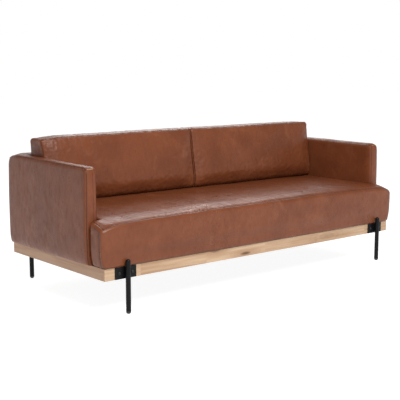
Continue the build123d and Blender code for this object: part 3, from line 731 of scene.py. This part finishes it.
def oak_material(name, turned_and_shaded):
    """Oak whose grain follows the rail; turned rails run along Y and are painted darker as painted
    shade.
    """
    colours = finish_settings()
    material, b, shader = new_material(name)
    vector = object_coords(b)
    colour = tuple(colours.oak)
    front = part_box("base_front_rail")[0].y
    knots = {label: (place[0], front, place[1]) for label, (place, _, _) in OAK_KNOTS.items()}
    if turned_and_shaded:
        # The side rails are painted darker and redder: painted shade for the faces turned from the
        # light.
        colour = tuple(c * share for c, share in zip(colour, (0.90, 0.80, 0.80)))
        vector = b.node(
            "ShaderNodeMapping", {"Vector": vector, "Rotation": (0, 0, math.pi / 2)}
        ).outputs[0]
    grain = placed_group(
        b, "Oak grain", oak_group,
        {"Vector": vector, "Colour": rgba(colour), "Grain": rgba(colours.oak_grain), **knots},
    )
    b.feed(
        shader,
        {"Base Color": grain.outputs["Colour"], "Roughness": grain.outputs["Roughness"],
         "Normal": b.bump(grain.outputs["Height"], 0.5, 0.0004)},
    )
    return material


def plain_material(name, colour, roughness, metallic=0.0, grain=400.0, depth=0.0002, spread=0.08,
                   specular=0.5):
    """A finish of one colour with fine unevenness in its tone, gloss and surface."""
    material, b, shader = new_material(name)
    vector = object_coords(b)
    fine = b.noise(vector, grain, 3.0, 0.6)
    broad = b.noise(vector, grain / 20.0, 3.0, 0.5)
    dark = tuple(c * 0.6 for c in colour)
    tone = b.mix_share(broad, 0.6, rgba(colour), rgba(dark))
    rough = b.math("ADD", roughness - spread / 2, b.math("MULTIPLY", fine, spread))
    b.feed(
        shader,
        {"Base Color": tone, "Roughness": rough, "Normal": b.bump(fine, 0.6, depth),
         "Metallic": metallic, "Specular IOR Level": specular},
    )
    return material


def woven_material(name, colour, threads, depth):
    """Woven cloth or webbing with its threads along X and Y."""
    material, b, shader = new_material(name)
    vector = object_coords(b)
    parts = b.node("ShaderNodeSeparateXYZ", {0: vector})
    turns = threads * 2 * math.pi
    weft = b.math("SINE", b.math("MULTIPLY", parts.outputs[0], turns))
    flat = b.math("ADD", parts.outputs[1], parts.outputs[2])
    warp = b.math("SINE", b.math("MULTIPLY", flat, turns))
    weave = b.math("MULTIPLY", weft, warp)
    shade = b.ramp(weave, -1.0, 1.0)
    dark = tuple(c * 0.45 for c in colour)
    tone = b.mix_colour(shade, rgba(dark), rgba(colour))
    b.feed(
        shader, {"Base Color": tone, "Normal": b.bump(shade, 0.8, depth), "Roughness": 0.85}
    )
    return material


def dress(names, material):
    """Give CAD nodes a material."""
    for name in names:
        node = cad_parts[name]
        node.data.materials.clear()
        node.data.materials.append(material)


def nodes_with(*words):
    """Names of the CAD nodes that contain any of the words."""
    return [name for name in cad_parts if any(word in name for word in words)]


# ---------------------------------------------------------------- operators


class SOFA_OT_plinth(bpy.types.Operator):
    """Oak on the plinth's rails and plain timber, felt and wire inside the body"""

    bl_idname = "sofa.plinth"
    bl_label = "Plinth and frame"

    def execute(self, context):
        dress(["base_front_rail", "base_rear_rail"], oak_material("oak_long", False))
        dress(["base_left_rail", "base_right_rail"], oak_material("oak_side", True))
        timber = plain_material("frame_timber", (0.52, 0.36, 0.20), 0.7, grain=90.0)
        dress(
            nodes_with("cross_rail", "corner_blocks", "post", "top_rail", "uprights", "brace",
                       "seat_front_rail", "seat_rear_rail", "seat_left_rail", "seat_right_rail"),
            timber,
        )
        dress(nodes_with("panel"), plain_material("hardboard", (0.20, 0.11, 0.06), 0.75))
        dress(["seat_spring_pad"], plain_material("felt", (0.33, 0.30, 0.26), 0.95))
        dress(["back_webbing"], woven_material("webbing", (0.42, 0.34, 0.22), 250.0, 0.0006))
        dress(["dust_cover"], woven_material("dust_cloth", (0.022, 0.022, 0.024), 600.0, 0.0002))
        wire = plain_material("spring_wire", (0.30, 0.30, 0.31), 0.4, metallic=1.0)
        dress(["seat_springs"], wire)
        zinc = plain_material("zinc_plate", (0.62, 0.62, 0.58), 0.35, metallic=1.0)
        dress(["seat_spring_clips", "body_bolts", "leg_tee_nuts"], zinc)
        return {"FINISHED"}


class SOFA_OT_legs(bpy.types.Operator):
    """Black powder coat on the rods and plates, nylon on the glides"""

    bl_idname = "sofa.legs"
    bl_label = "Legs"

    def execute(self, context):
        paint = finish_settings().paint
        coat = plain_material("powder_coat", tuple(paint), 0.42, grain=900.0, depth=0.00015,
                              specular=0.16)
        dress(nodes_with("leg_rod", "leg_plate"), coat)
        bolts = plain_material("black_bolts", (0.018, 0.018, 0.02), 0.34, metallic=0.4)
        dress(["leg_bolts"], bolts)
        dress(nodes_with("leg_glide"), plain_material("black_nylon", (0.014, 0.014, 0.014), 0.55))
        return {"FINISHED"}


class SOFA_OT_seat(bpy.types.Operator):
    """T-shaped tight seat in leather, crowned, with soft creases"""

    bl_idname = "sofa.seat"
    bl_label = "Seat"

    ARM_GAP = 0.002
    UPRIGHT_EDGE = 0.014
    WING_REAR_EDGE = 0.012
    TOP_DEPTH = 0.06
    # How far the top falls along the whole front edge, evenly and at the corners, and only on
    # the front roll, and how full the two ends are.
    LONG_FALL = 0.20
    CORNER_FALL = 0.66
    LIP_DROP = 0.009
    RIGHT_FALL = 0.80
    CROWN_RISE = 0.005
    FRONT_SWELL = 0.008
    END_FULLNESS = (0.015, 0.019)
    CORNER_TUCK, CORNER_REACH = 0.006, 0.035

    def execute(self, context):
        sizes = shape_settings()
        low, high = SEAT_BOX
        wing_rear = ARM_BOX["left"][0].y - self.ARM_GAP
        inner = -ARM_BOX["left"][1].x - self.ARM_GAP
        edge = sizes.seat_edge
        front = rounded_box(
            "seat_front", (low.x, low.y, low.z), (high.x, wing_rear, high.z), PLAIN_EDGE,
            {
                edge_of("-y", "+z"): edge,
                edge_of("-x", "+z"): edge * 0.7,
                edge_of("+x", "+z"): edge * 0.7,
                edge_of("-x", "-y"): self.UPRIGHT_EDGE,
                edge_of("+x", "-y"): self.UPRIGHT_EDGE,
                edge_of("-x", "+y"): self.WING_REAR_EDGE,
                edge_of("+x", "+y"): self.WING_REAR_EDGE,
            },
        )
        deck = rounded_box(
            "seat_deck", (-inner, wing_rear - 0.06, low.z), (inner, high.y, high.z - 0.0002),
            PLAIN_EDGE,
        )
        seat = merged_skin("seat_leather", [front, deck], sizes.voxel)
        self.crown(seat, low, high, sizes.seat_crown)
        self.open_underside(seat, low.z)
        shade_smooth(seat)
        seat.data.materials.append(leather_material("leather_seat", 1.6, (1.0, 0.25, 0.6)))
        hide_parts("seat_cover", "seat_front_foam", "seat_deck_foam")
        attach(seat, BODY)
        stitch(seat, "seat_stitches", 0.007, BODY)
        return {"FINISHED"}

    def crown(self, seat, low, high, drop):
        """Sew the edges, drop them towards the corners, and swell the front between them."""
        points = mesh_coords(seat.data)
        away = self.seam_distance(points, low, high)
        store(seat.data, "seam", away)
        press_seam(seat, away, depth=0.0028, width=0.006, pucker=0.0012)
        points = mesh_coords(seat.data)
        x, y, z = points.T
        up = smoothstep(low.z + self.TOP_DEPTH, high.z, z)
        along = np.abs(x) / high.x
        forward = smoothstep(0.10, low.y, y)
        at_front = smoothstep(low.y + 0.16, low.y, y)
        even_fall = self.LONG_FALL * along**2 * forward
        fall = drop * (even_fall + self.CORNER_FALL * along**12 * at_front)
        lip = self.LIP_DROP * smoothstep(low.y + 0.12, low.y, y)
        points[:, 2] -= (fall + lip) * up * np.where(x > 0.0, self.RIGHT_FALL, 1.0)
        rise = self.CROWN_RISE * arch(low.x, high.x, x) * arch(low.y - 0.1, 0.25, y)
        points[:, 2] += rise * up
        face = smoothstep(low.y + 0.03, low.y, y)
        bulge = arch(low.z + 0.03, high.z + 0.02, z) * arch(low.x - 0.05, high.x + 0.05, x)
        above_rail = smoothstep(low.z + 0.035, low.z + 0.09, z)
        points[:, 1] -= self.FRONT_SWELL * face * bulge * above_rail
        ends = smoothstep(high.x - 0.03, high.x, np.abs(x))
        fullness = np.where(x > 0.0, self.END_FULLNESS[1], self.END_FULLNESS[0])
        points[:, 0] += np.sign(x) * fullness * ends * (arch(low.z, high.z + 0.05, z) - 0.15)
        settle_edge(points, low.z)
        corner = np.hypot(high.x - np.abs(x), y - low.y)
        pucker = np.exp(-((corner / self.CORNER_REACH) ** 2)) * up
        points[:, 2] -= self.CORNER_TUCK * pucker
        ripple = waviness(points, ((0.16, 3, 0.0018), (0.05, 5, 0.0006)))
        pulled = soft_noise(points * (1.0, 0.16, 0.5), 0.035, 8) * 0.0007
        ripple += pulled * smoothstep(0.02, 0.5, soft_noise(points, 0.35, 9) + 0.3)
        points[:, 2] += ripple * up
        points[:, 1] += ripple * face
        set_mesh_coords(seat.data, points)

    def seam_distance(self, points, low, high):
        """Distance to the seam round the top panel and to the upright seams at its corners."""
        x, y, z = points.T
        front_inset, side_inset, upright_inset = 0.012, 0.011, 0.024
        front = y - (low.y + front_inset)
        side = (high.x - side_inset) - np.abs(x)
        round_top = np.where(z > high.z - 0.022, np.minimum(front, side), FAR)
        round_top = np.where(y > ARM_BOX["left"][0].y + 0.01, FAR, round_top)
        upright = np.where(side < 0.0, y - (low.y + upright_inset), FAR)
        upright = np.where(z < high.z - 0.02, upright, FAR)
        return np.where(np.abs(round_top) < np.abs(upright), round_top, upright)

    def open_underside(self, seat, floor):
        """Leave the cover open underneath, where it is stapled to the frame."""
        work = bmesh.new()
        work.from_mesh(seat.data)
        under = [
            face for face in work.faces
            if face.normal.z < -0.8 and face.calc_center_median().z < floor + 0.01
        ]
        bmesh.ops.delete(work, geom=under, context="FACES")
        work.to_mesh(seat.data)
        work.free()


class SOFA_OT_shell(bpy.types.Operator):
    """Arms and back in one wrap of leather"""

    bl_idname = "sofa.shell"
    bl_label = "Arms and back"

    JOINED_EDGE = 0.003
    BOTTOM_EDGE = 0.008
    BOTTOM_TUCK = 0.004
    SHOULDER_DROP = 0.012
    SHOULDER_PULL = (0.012, 0.010)
    FRONT_NARROWING = 0.005
    FRONT_LEAN = 0.004
    ARM_FALL = 0.009
    STRIP_INSET = 0.007

    def execute(self, context):
        sizes = shape_settings()
        blocks = []
        for side in SIDES:
            low, high = ARM_BOX[side]
            outer, inner = ("-x", "+x") if side == "left" else ("+x", "-x")
            radii = {
                edge_of(*pair): sizes.shell_edge
                for pair in ((outer, "+z"), (inner, "+z"), (outer, "-y"), (inner, "-y"),
                             ("+y", "+z"))
            }
            radii[edge_of("-y", "+z")] = sizes.arm_corner
            radii[edge_of(outer, "+y")] = sizes.rear_corner
            radii[edge_of(outer, "-z")] = self.BOTTOM_EDGE
            blocks.append(rounded_box("arm_" + side, low, high, self.JOINED_EDGE, radii))
        low, high = BACK_BOX
        reach = 0.02
        blocks.append(
            rounded_box(
                "back", (low.x - reach, low.y, low.z), (high.x + reach, high.y, high.z),
                self.JOINED_EDGE,
                {edge_of("-y", "+z"): sizes.shell_edge, edge_of("+y", "+z"): sizes.shell_edge},
            )
        )
        shell = merged_skin("shell_leather", blocks, sizes.voxel)
        self.swell(shell, sizes.shell_bulge)
        shade_smooth(shell)
        shell.data.materials.append(leather_material("leather_shell", 0.5, (1.0, 1.0, 0.4)))
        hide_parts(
            "left_arm_cover", "right_arm_cover", "back_cover",
            "left_arm_foam", "right_arm_foam", "back_foam",
        )
        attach(shell, BODY)
        stitch(shell, "shell_stitches", -0.005, BODY)
        return {"FINISHED"}

    def swell(self, shell, bulge):
        """Sew the panel edges, then let the panels swell between them."""
        points = mesh_coords(shell.data)
        low, high = ARM_BOX["left"][0], ARM_BOX["right"][1]
        away = self.seam_distance(points, low, high)
        store(shell.data, "seam", away)
        press_seam(shell, away, depth=0.0012, width=0.004, pucker=0.0008)
        points = mesh_coords(shell.data)
        x, y, z = points.T
        tall = arch(low.z - 0.01, high.z, z)
        outside = smoothstep(high.x - 0.03, high.x, np.abs(x))
        side = outside * tall * (0.5 + 0.5 * arch(low.y - 0.02, high.y, y))
        side *= 1.0 - 0.6 * smoothstep(low.z + 0.15, high.z, z)
        points[:, 0] += np.sign(x) * bulge * side
        tuck = smoothstep(low.z + 0.04, low.z, z) * self.BOTTOM_TUCK
        points[:, 0] -= np.sign(x) * tuck * outside
        rear_face = smoothstep(high.y - 0.03, high.y, y)
        rear = rear_face * tall * arch(low.x, high.x, x)
        points[:, 1] += bulge * rear * smoothstep(low.z + 0.04, low.z + 0.14, z)
        points[:, 1] -= tuck * rear_face
        shoulder = smoothstep(high.y - 0.12, high.y, y)
        shoulder = shoulder * smoothstep(high.x - 0.10, high.x, np.abs(x))
        points[:, 2] -= self.SHOULDER_DROP * shoulder * smoothstep(high.z - 0.10, high.z, z)
        pinch = shoulder * np.clip((z - high.z + 0.06) / 0.06, 0.0, 1.0) ** 2
        points[:, 0] -= np.sign(x) * self.SHOULDER_PULL[0] * pinch
        points[:, 1] -= self.SHOULDER_PULL[1] * pinch
        front = smoothstep(low.y + 0.02, low.y, y)
        inner = ARM_BOX["right"][0].x
        inside = smoothstep(inner + 0.02, inner, np.abs(x)) * smoothstep(low.y + 0.05, low.y, y)
        points[:, 0] += np.sign(x) * self.FRONT_NARROWING * inside
        points[:, 1] += self.FRONT_LEAN * front * (2.0 - arch(low.z - 0.1, high.z, z))
        forward = smoothstep(high.y - 0.1, low.y, y)
        points[:, 2] -= self.ARM_FALL * forward * smoothstep(low.z, high.z, z)
        settle_edge(points, low.z)
        ripple = waviness(points, ((0.2, 11, 0.0016), (0.07, 12, 0.0004)))
        points[:, 0] += np.sign(x) * ripple * outside
        points[:, 2] += ripple * smoothstep(high.z - 0.02, high.z, z)
        set_mesh_coords(shell.data, points)

    def seam_distance(self, points, low, high):
        """Distance to the seams between the side panels and the strip over each arm."""
        x, y, z = points.T
        inner = ARM_BOX["right"][0].x
        wide = np.abs(x)
        outer_seam = wide - (high.x - self.STRIP_INSET)
        inner_seam = wide - (inner + self.STRIP_INSET)
        at_edge = (z > high.z - 0.02) | (y < low.y + 0.02)
        strip = np.where(np.abs(outer_seam) < np.abs(inner_seam), outer_seam, inner_seam)
        strip = np.where(at_edge & (y < BACK_BOX[0].y + 0.02), strip, FAR)
        rear = np.where(y > BACK_BOX[1].y - 0.03, wide - (BACK_BOX[1].x - 0.02), FAR)
        return np.where(np.abs(strip) < np.abs(rear), strip, rear)


class SOFA_OT_back_cushions(bpy.types.Operator):
    """Two boxed back cushions, filled by cloth pressure"""

    bl_idname = "sofa.back_cushions"
    bl_label = "Back cushions"

    LEAN = 0.063
    # The cover is cut a little smaller than its box, so that it can fill.
    FRONT_ROOM, REAR_ROOM, TOP_ROOM = 0.004, 0.002, 0.004
    # Left and right cushion: how far the outer top corner sinks and the outer top edge rises.
    OUTER_DROP = (0.009, 0.001)
    OUTER_RISE = (-0.006, 0.003)
    INNER_END_PULL, OUTER_END_PULL = 0.0025, 0.002
    TWIN_OVERLAP = 0.003
    ARM_BULGE = 0.004
    BOTTOM_TUCK, BOTTOM_LIP = 0.034, 0.010
    END_ROUNDING = 0.016

    def execute(self, context):
        leather = leather_material("leather_cushion", 1.3, (1.0, 1.0, 0.22))
        for index, side in enumerate(SIDES):
            self.make(side, index, leather)
        return {"FINISHED"}

    def make(self, side, index, leather):
        """One cushion: fill it, flatten it where it rests, and sew its seams."""
        sizes = shape_settings()
        low, high = CUSHION_BOX[side]
        block = rounded_box(
            "cushion_" + side,
            (low.x + 0.001, low.y + self.FRONT_ROOM, low.z),
            (high.x - 0.001, high.y - self.REAR_ROOM, high.z - self.TOP_ROOM),
            0.010,
            {edge_of("-y", "+z"): 0.012, edge_of("+y", "+z"): 0.018, edge_of("-y", "-z"): 0.012},
            lean=self.LEAN,
        )
        cushion = merged_skin(side + "_cushion_leather", [block], sizes.voxel)
        rest = mesh_coords(cushion.data)
        away = self.seam_distance(rest, low, high)
        inflate(cushion, sizes.cushion_pressure, sizes.cushion_swell,
                self.held(rest, low, high))
        store(cushion.data, "seam", away)
        points = self.fitted(mesh_coords(cushion.data), rest, index, low, high)
        set_mesh_coords(cushion.data, points)
        divide = cushion.modifiers.new("finer", "SUBSURF")
        divide.levels = 1
        divide.render_levels = 1
        baked(cushion)
        press_seam(
            cushion, stored(cushion.data, "seam"), depth=0.0024, width=0.0045, pucker=0.0022
        )
        self.keep_clear(cushion, side, low)
        shade_smooth(cushion)
        cushion.data.materials.append(leather)
        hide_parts(side + "_back_cushion_cover", side + "_back_cushion_core")
        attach(cushion, side + "_back_cushion")
        body = side + "_back_cushion"
        stitch(cushion, side + "_cushion_stitches", 0.006, body)

    def depth_behind_front(self, points, low, high):
        """Distance of each vertex behind the leaning front panel."""
        share = (points[:, 2] - low.z) / (high.z - low.z)
        return points[:, 1] - (low.y + self.FRONT_ROOM + self.LEAN * share)

    def edge_distance(self, points, low, high):
        """Distance over the surface to the nearest edge of the box."""
        x, y, z = points.T
        front = self.depth_behind_front(points, low, high)
        gaps = np.stack([
            np.minimum(x - low.x, high.x - x),
            np.minimum(front, high.y - y),
            np.minimum(z - low.z, high.z - z),
        ])
        return np.sort(gaps, axis=0)[1]

    def seam_distance(self, points, low, high):
        """Distance to the seam round the front panel and the one round the rear panel."""
        front_inset, rear_inset = 0.008, 0.010
        front = self.depth_behind_front(points, low, high) - front_inset
        rear = (high.y - rear_inset) - points[:, 1]
        rear = np.where(points[:, 2] < low.z + 0.05, FAR, rear)
        return np.where(np.abs(front) < np.abs(rear), front, rear)

    def held(self, points, low, high):
        """1 where the cover hardly moves: its edges, its bottom and beside the zip."""
        y, z = points[:, 1], points[:, 2]
        zip_band = smoothstep(low.z + 0.06, low.z + 0.035, z)
        at_rear = smoothstep(high.y - 0.02, high.y - 0.004, y)
        underneath = smoothstep(low.z + 0.012, low.z + 0.002, z)
        edges = 0.8 * smoothstep(0.045, 0.008, self.edge_distance(points, low, high))
        return np.maximum.reduce([zip_band * at_rear, underneath, edges])

    def fitted(self, points, rest, index, low, high):
        """Pull the ends in between their corners and let the panels ripple."""
        points = points.copy()
        middle = arch(low.z - 0.02, high.z - 0.02, rest[:, 2])
        centre = (low.x + high.x) / 2
        half = (high.x - low.x) / 2
        inner_end = 1.0 if centre < 0 else -1.0
        share = (rest[:, 0] - centre) / half * inner_end
        near_front = smoothstep(high.y - 0.04, low.y + 0.06, rest[:, 1])
        pull = self.INNER_END_PULL * smoothstep(0.86, 1.0, share)
        pull += self.OUTER_END_PULL * smoothstep(-0.9, -1.0, share)
        points[:, 0] -= np.sign(share) * inner_end * pull * middle * near_front
        at_top = smoothstep(high.z - 0.08, high.z, rest[:, 2])
        points[:, 2] += self.OUTER_RISE[index] * smoothstep(0.8, -0.8, share) * at_top
        points[:, 0] += inner_end * self.TWIN_OVERLAP * smoothstep(0.9, 1.0, share)
        outer_top = smoothstep(-0.70, -1.0, share) * at_top
        points[:, 2] -= self.OUTER_DROP[index] * outer_top
        over_arm = smoothstep(BACK_BOX[1].z, high.z, rest[:, 2])
        over_arm = over_arm * smoothstep(-0.96, -1.0, share)
        points[:, 0] -= inner_end * self.ARM_BULGE * over_arm
        tuck = smoothstep(low.z + 0.10, low.z - 0.01, rest[:, 2]) ** 1.3
        lip = smoothstep(low.z + 0.028, low.z, rest[:, 2])
        near_face = smoothstep(low.y + 0.12, low.y + 0.01, rest[:, 1])
        points[:, 1] += (self.BOTTOM_TUCK * tuck + self.BOTTOM_LIP * lip) * near_face
        rounded = smoothstep(0.80, 1.02, np.abs(share)) ** 1.5 * self.END_ROUNDING
        points[:, 1] += rounded * near_face * smoothstep(low.z, low.z + 0.1, rest[:, 2])
        points[:, 1] -= waviness(rest, ((0.14, 21 + index, 0.0022), (0.045, 31 + index, 0.0005)))
        return points

    def keep_clear(self, cushion, side, low):
        """Keep the cushion clear of the seat, the back, the arm and its twin."""
        back_gap, arm_gap, twin_gap, free = 0.001, 0.0015, 0.0012, 0.01
        points = mesh_coords(cushion.data)
        points[:, 2] = np.maximum(points[:, 2], low.z)
        back = BACK_BOX[0].y - back_gap
        behind = np.where(points[:, 2] < BACK_BOX[1].z + free, back, back + free)
        points[:, 1] = np.minimum(points[:, 1], behind)
        points[:, 1] = np.minimum(points[:, 1], self.zip_opening(points, side))
        arm = ARM_BOX["right"][0].x - arm_gap
        arm = np.where(points[:, 2] > BACK_BOX[1].z + free, arm + free, arm)
        outward = -1.0 if side == "left" else 1.0
        points[:, 0] = outward * np.clip(outward * points[:, 0], twin_gap, arm)
        set_mesh_coords(cushion.data, points)

    def zip_opening(self, points, side):
        """Furthest back the cover may come, so that the zip shows in its own channel."""
        low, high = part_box(side + "_back_cushion_zip_chain")
        across = np.abs(points[:, 2] - (low.z + high.z) / 2) - (high.z - low.z) / 2
        along = np.maximum(low.x - points[:, 0], points[:, 0] - high.x)
        outside = np.maximum(across, along) - 0.0015
        return low.y - 0.0012 + np.clip(outside, 0.0, 0.03) * 1.2 + (points[:, 1] < 0.30)


class SOFA_OT_zips(bpy.types.Operator):
    """Zip chains with rows of teeth, and brass sliders, behind the back cushions"""

    bl_idname = "sofa.zips"
    bl_label = "Zips"

    TOOTH_PITCH = 0.0030
    ROW_OFFSET = 0.0008
    END_MARGIN = 0.002

    def execute(self, context):
        tape = woven_material("zip_tape", (0.07, 0.03, 0.02), 900.0, 0.0002)
        dress(nodes_with("zip_chain"), tape)
        brass = plain_material("zip_brass", (0.50, 0.36, 0.16), 0.32, metallic=1.0)
        dress(nodes_with("zip_slider"), brass)
        for side in SIDES:
            self.teeth(side, brass)
        return {"FINISHED"}

    def teeth(self, side, brass):
        """Two rows of teeth that mesh along the middle of the tape."""
        low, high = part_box(side + "_back_cushion_zip_chain")
        middle = (low.z + high.z) / 2
        face = high.y - 0.0001
        mesh = bpy.data.meshes.new(side + "_zip_teeth")
        rows = [
            (middle + self.ROW_OFFSET, self.END_MARGIN),
            (middle - self.ROW_OFFSET, self.END_MARGIN + self.TOOTH_PITCH / 2),
        ]
        verts = [
            (x, face, z) for z, margin in rows
            for x in (low.x + margin, high.x - 2 * self.END_MARGIN + margin)
        ]
        mesh.from_pydata(verts, [(0, 1), (2, 3)], [])
        teeth = repeated(
            new_object(side + "_zip_teeth", mesh), brass, Pitch=self.TOOTH_PITCH, Length=0.0016,
            Width=0.0008, Height=0.0022,
        )
        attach(teeth, side + "_back_cushion")


class SOFA_OT_stage(bpy.types.Operator):
    """Pale floor, soft studio light and the camera"""

    bl_idname = "sofa.stage"
    bl_label = "Stage"

    # Focal length and sensor in millimetres, place in metres, turn and downward tilt in degrees.
    CAMERA_LENS, CAMERA_SENSOR = 77.64, 36.0
    CAMERA_PLACE = (-3.244, -3.784, 1.1545)
    CAMERA_TURN, CAMERA_TILT = 39.80, 8.50
    FLOOR_HALF, FLOOR_GAP = 30.0, 0.0005

    def execute(self, context):
        self.floor()
        self.light()
        self.camera()
        context.scene.view_settings.view_transform = "Standard"
        return {"FINISHED"}

    def floor(self):
        """A wide pale floor just under the feet, clear from below."""
        mesh = bpy.data.meshes.new("floor")
        work = bmesh.new()
        bmesh.ops.create_grid(work, x_segments=1, y_segments=1, size=self.FLOOR_HALF)
        work.to_mesh(mesh)
        work.free()
        floor = new_object("floor", mesh)
        floor.location.z = -self.FLOOR_GAP
        material, b, shader = new_material("floor_paint")
        speckle = b.noise(object_coords(b), 30.0, 2.0)
        tone = b.mix_colour(speckle, (0.35, 0.35, 0.35, 1), (0.32, 0.32, 0.32, 1))
        b.feed(
            shader,
            {"Base Color": tone, "Roughness": 0.9, "Emission Color": (1.0, 1.0, 1.0, 1.0),
             "Emission Strength": 0.90},
        )
        facing = b.node("ShaderNodeNewGeometry").outputs["Backfacing"]
        clear = b.node("ShaderNodeBsdfTransparent")
        one_sided = b.node(
            "ShaderNodeMixShader", {0: facing, 1: shader.outputs[0], 2: clear.outputs[0]}
        )
        b.node("ShaderNodeOutputMaterial", {0: one_sided.outputs[0]}).is_active_output = True
        mesh.materials.append(material)

    def light(self):
        """White surroundings that dim overhead, and soft boxes high in front and behind."""
        world = bpy.data.worlds.new("studio")
        world.use_nodes = True
        b = NodeBuilder(world.node_tree)
        background = world.node_tree.nodes["Background"]
        way = b.node("ShaderNodeTexCoord").outputs["Generated"]
        height = b.node("ShaderNodeSeparateXYZ", {0: way}).outputs[2]
        overhead = b.ramp(height, 0.10, 0.34)
        tone = b.mix_colour(overhead, (1.0, 1.0, 1.0, 1.0), (0.27, 0.27, 0.27, 1.0))
        b.feed(background, {"Color": tone, "Strength": 1.0})
        bpy.context.scene.world = world
        self.lamp("key", place=(-1.0, -3.1, 3.8), power=245.0, size=2.2)
        self.lamp("rear", place=(2.3, 3.0, 3.4), power=95.0, size=2.8)

    def lamp(self, name, place, power, size):
        """A square soft box that faces the seat."""
        data = bpy.data.lights.new(name, "AREA")
        data.energy = power
        data.size = size
        lamp = bpy.data.objects.new(name, data)
        lamp.location = place
        aim = Vector((0.0, 0.0, 0.4)) - Vector(place)
        lamp.rotation_euler = aim.to_track_quat("-Z", "Y").to_euler()
        bpy.context.scene.collection.objects.link(lamp)

    def camera(self):
        """Camera at eye height off the sofa's front left corner."""
        data = bpy.data.cameras.new("camera")
        data.lens = self.CAMERA_LENS
        data.sensor_width = self.CAMERA_SENSOR
        camera = bpy.data.objects.new("camera", data)
        camera.location = self.CAMERA_PLACE
        turn, tilt = math.radians(self.CAMERA_TURN), math.radians(self.CAMERA_TILT)
        camera.rotation_euler = (math.pi / 2 - tilt, 0.0, -turn)
        bpy.context.scene.collection.objects.link(camera)
        bpy.context.scene.camera = camera


class SOFA_PT_panel(bpy.types.Panel):
    """Lists the sofa's settings and the steps that build it"""

    bl_label = "Leather Sofa"
    bl_idname = "SOFA_PT_panel"
    bl_space_type = "VIEW_3D"
    bl_region_type = "UI"
    bl_category = "Sofa"

    def draw(self, context):
        layout = self.layout
        for settings in (context.scene.sofa_shape, context.scene.sofa_finish):
            for name in settings.bl_rna.properties.keys():
                if name not in ("rna_type", "name"):
                    layout.prop(settings, name)
        for step in STEPS:
            layout.operator(step.bl_idname)


STEPS = (
    SOFA_OT_plinth,
    SOFA_OT_legs,
    SOFA_OT_seat,
    SOFA_OT_shell,
    SOFA_OT_back_cushions,
    SOFA_OT_zips,
    SOFA_OT_stage,
)
CLASSES = (SofaShapeSettings, SofaFinishSettings, *STEPS, SOFA_PT_panel)


def register():
    """Add the settings, operators and panel."""
    for cls in CLASSES:
        bpy.utils.register_class(cls)
    bpy.types.Scene.sofa_shape = bpy.props.PointerProperty(type=SofaShapeSettings)
    bpy.types.Scene.sofa_finish = bpy.props.PointerProperty(type=SofaFinishSettings)


def unregister():
    """Remove them again."""
    del bpy.types.Scene.sofa_finish
    del bpy.types.Scene.sofa_shape
    for cls in reversed(CLASSES):
        bpy.utils.unregister_class(cls)


def main():
    """Build every piece in order."""
    register()
    bpy.ops.sofa.plinth()
    bpy.ops.sofa.legs()
    bpy.ops.sofa.seat()
    bpy.ops.sofa.shell()
    bpy.ops.sofa.back_cushions()
    bpy.ops.sofa.zips()
    bpy.ops.sofa.stage()


if __name__ == "__main__":
    main()
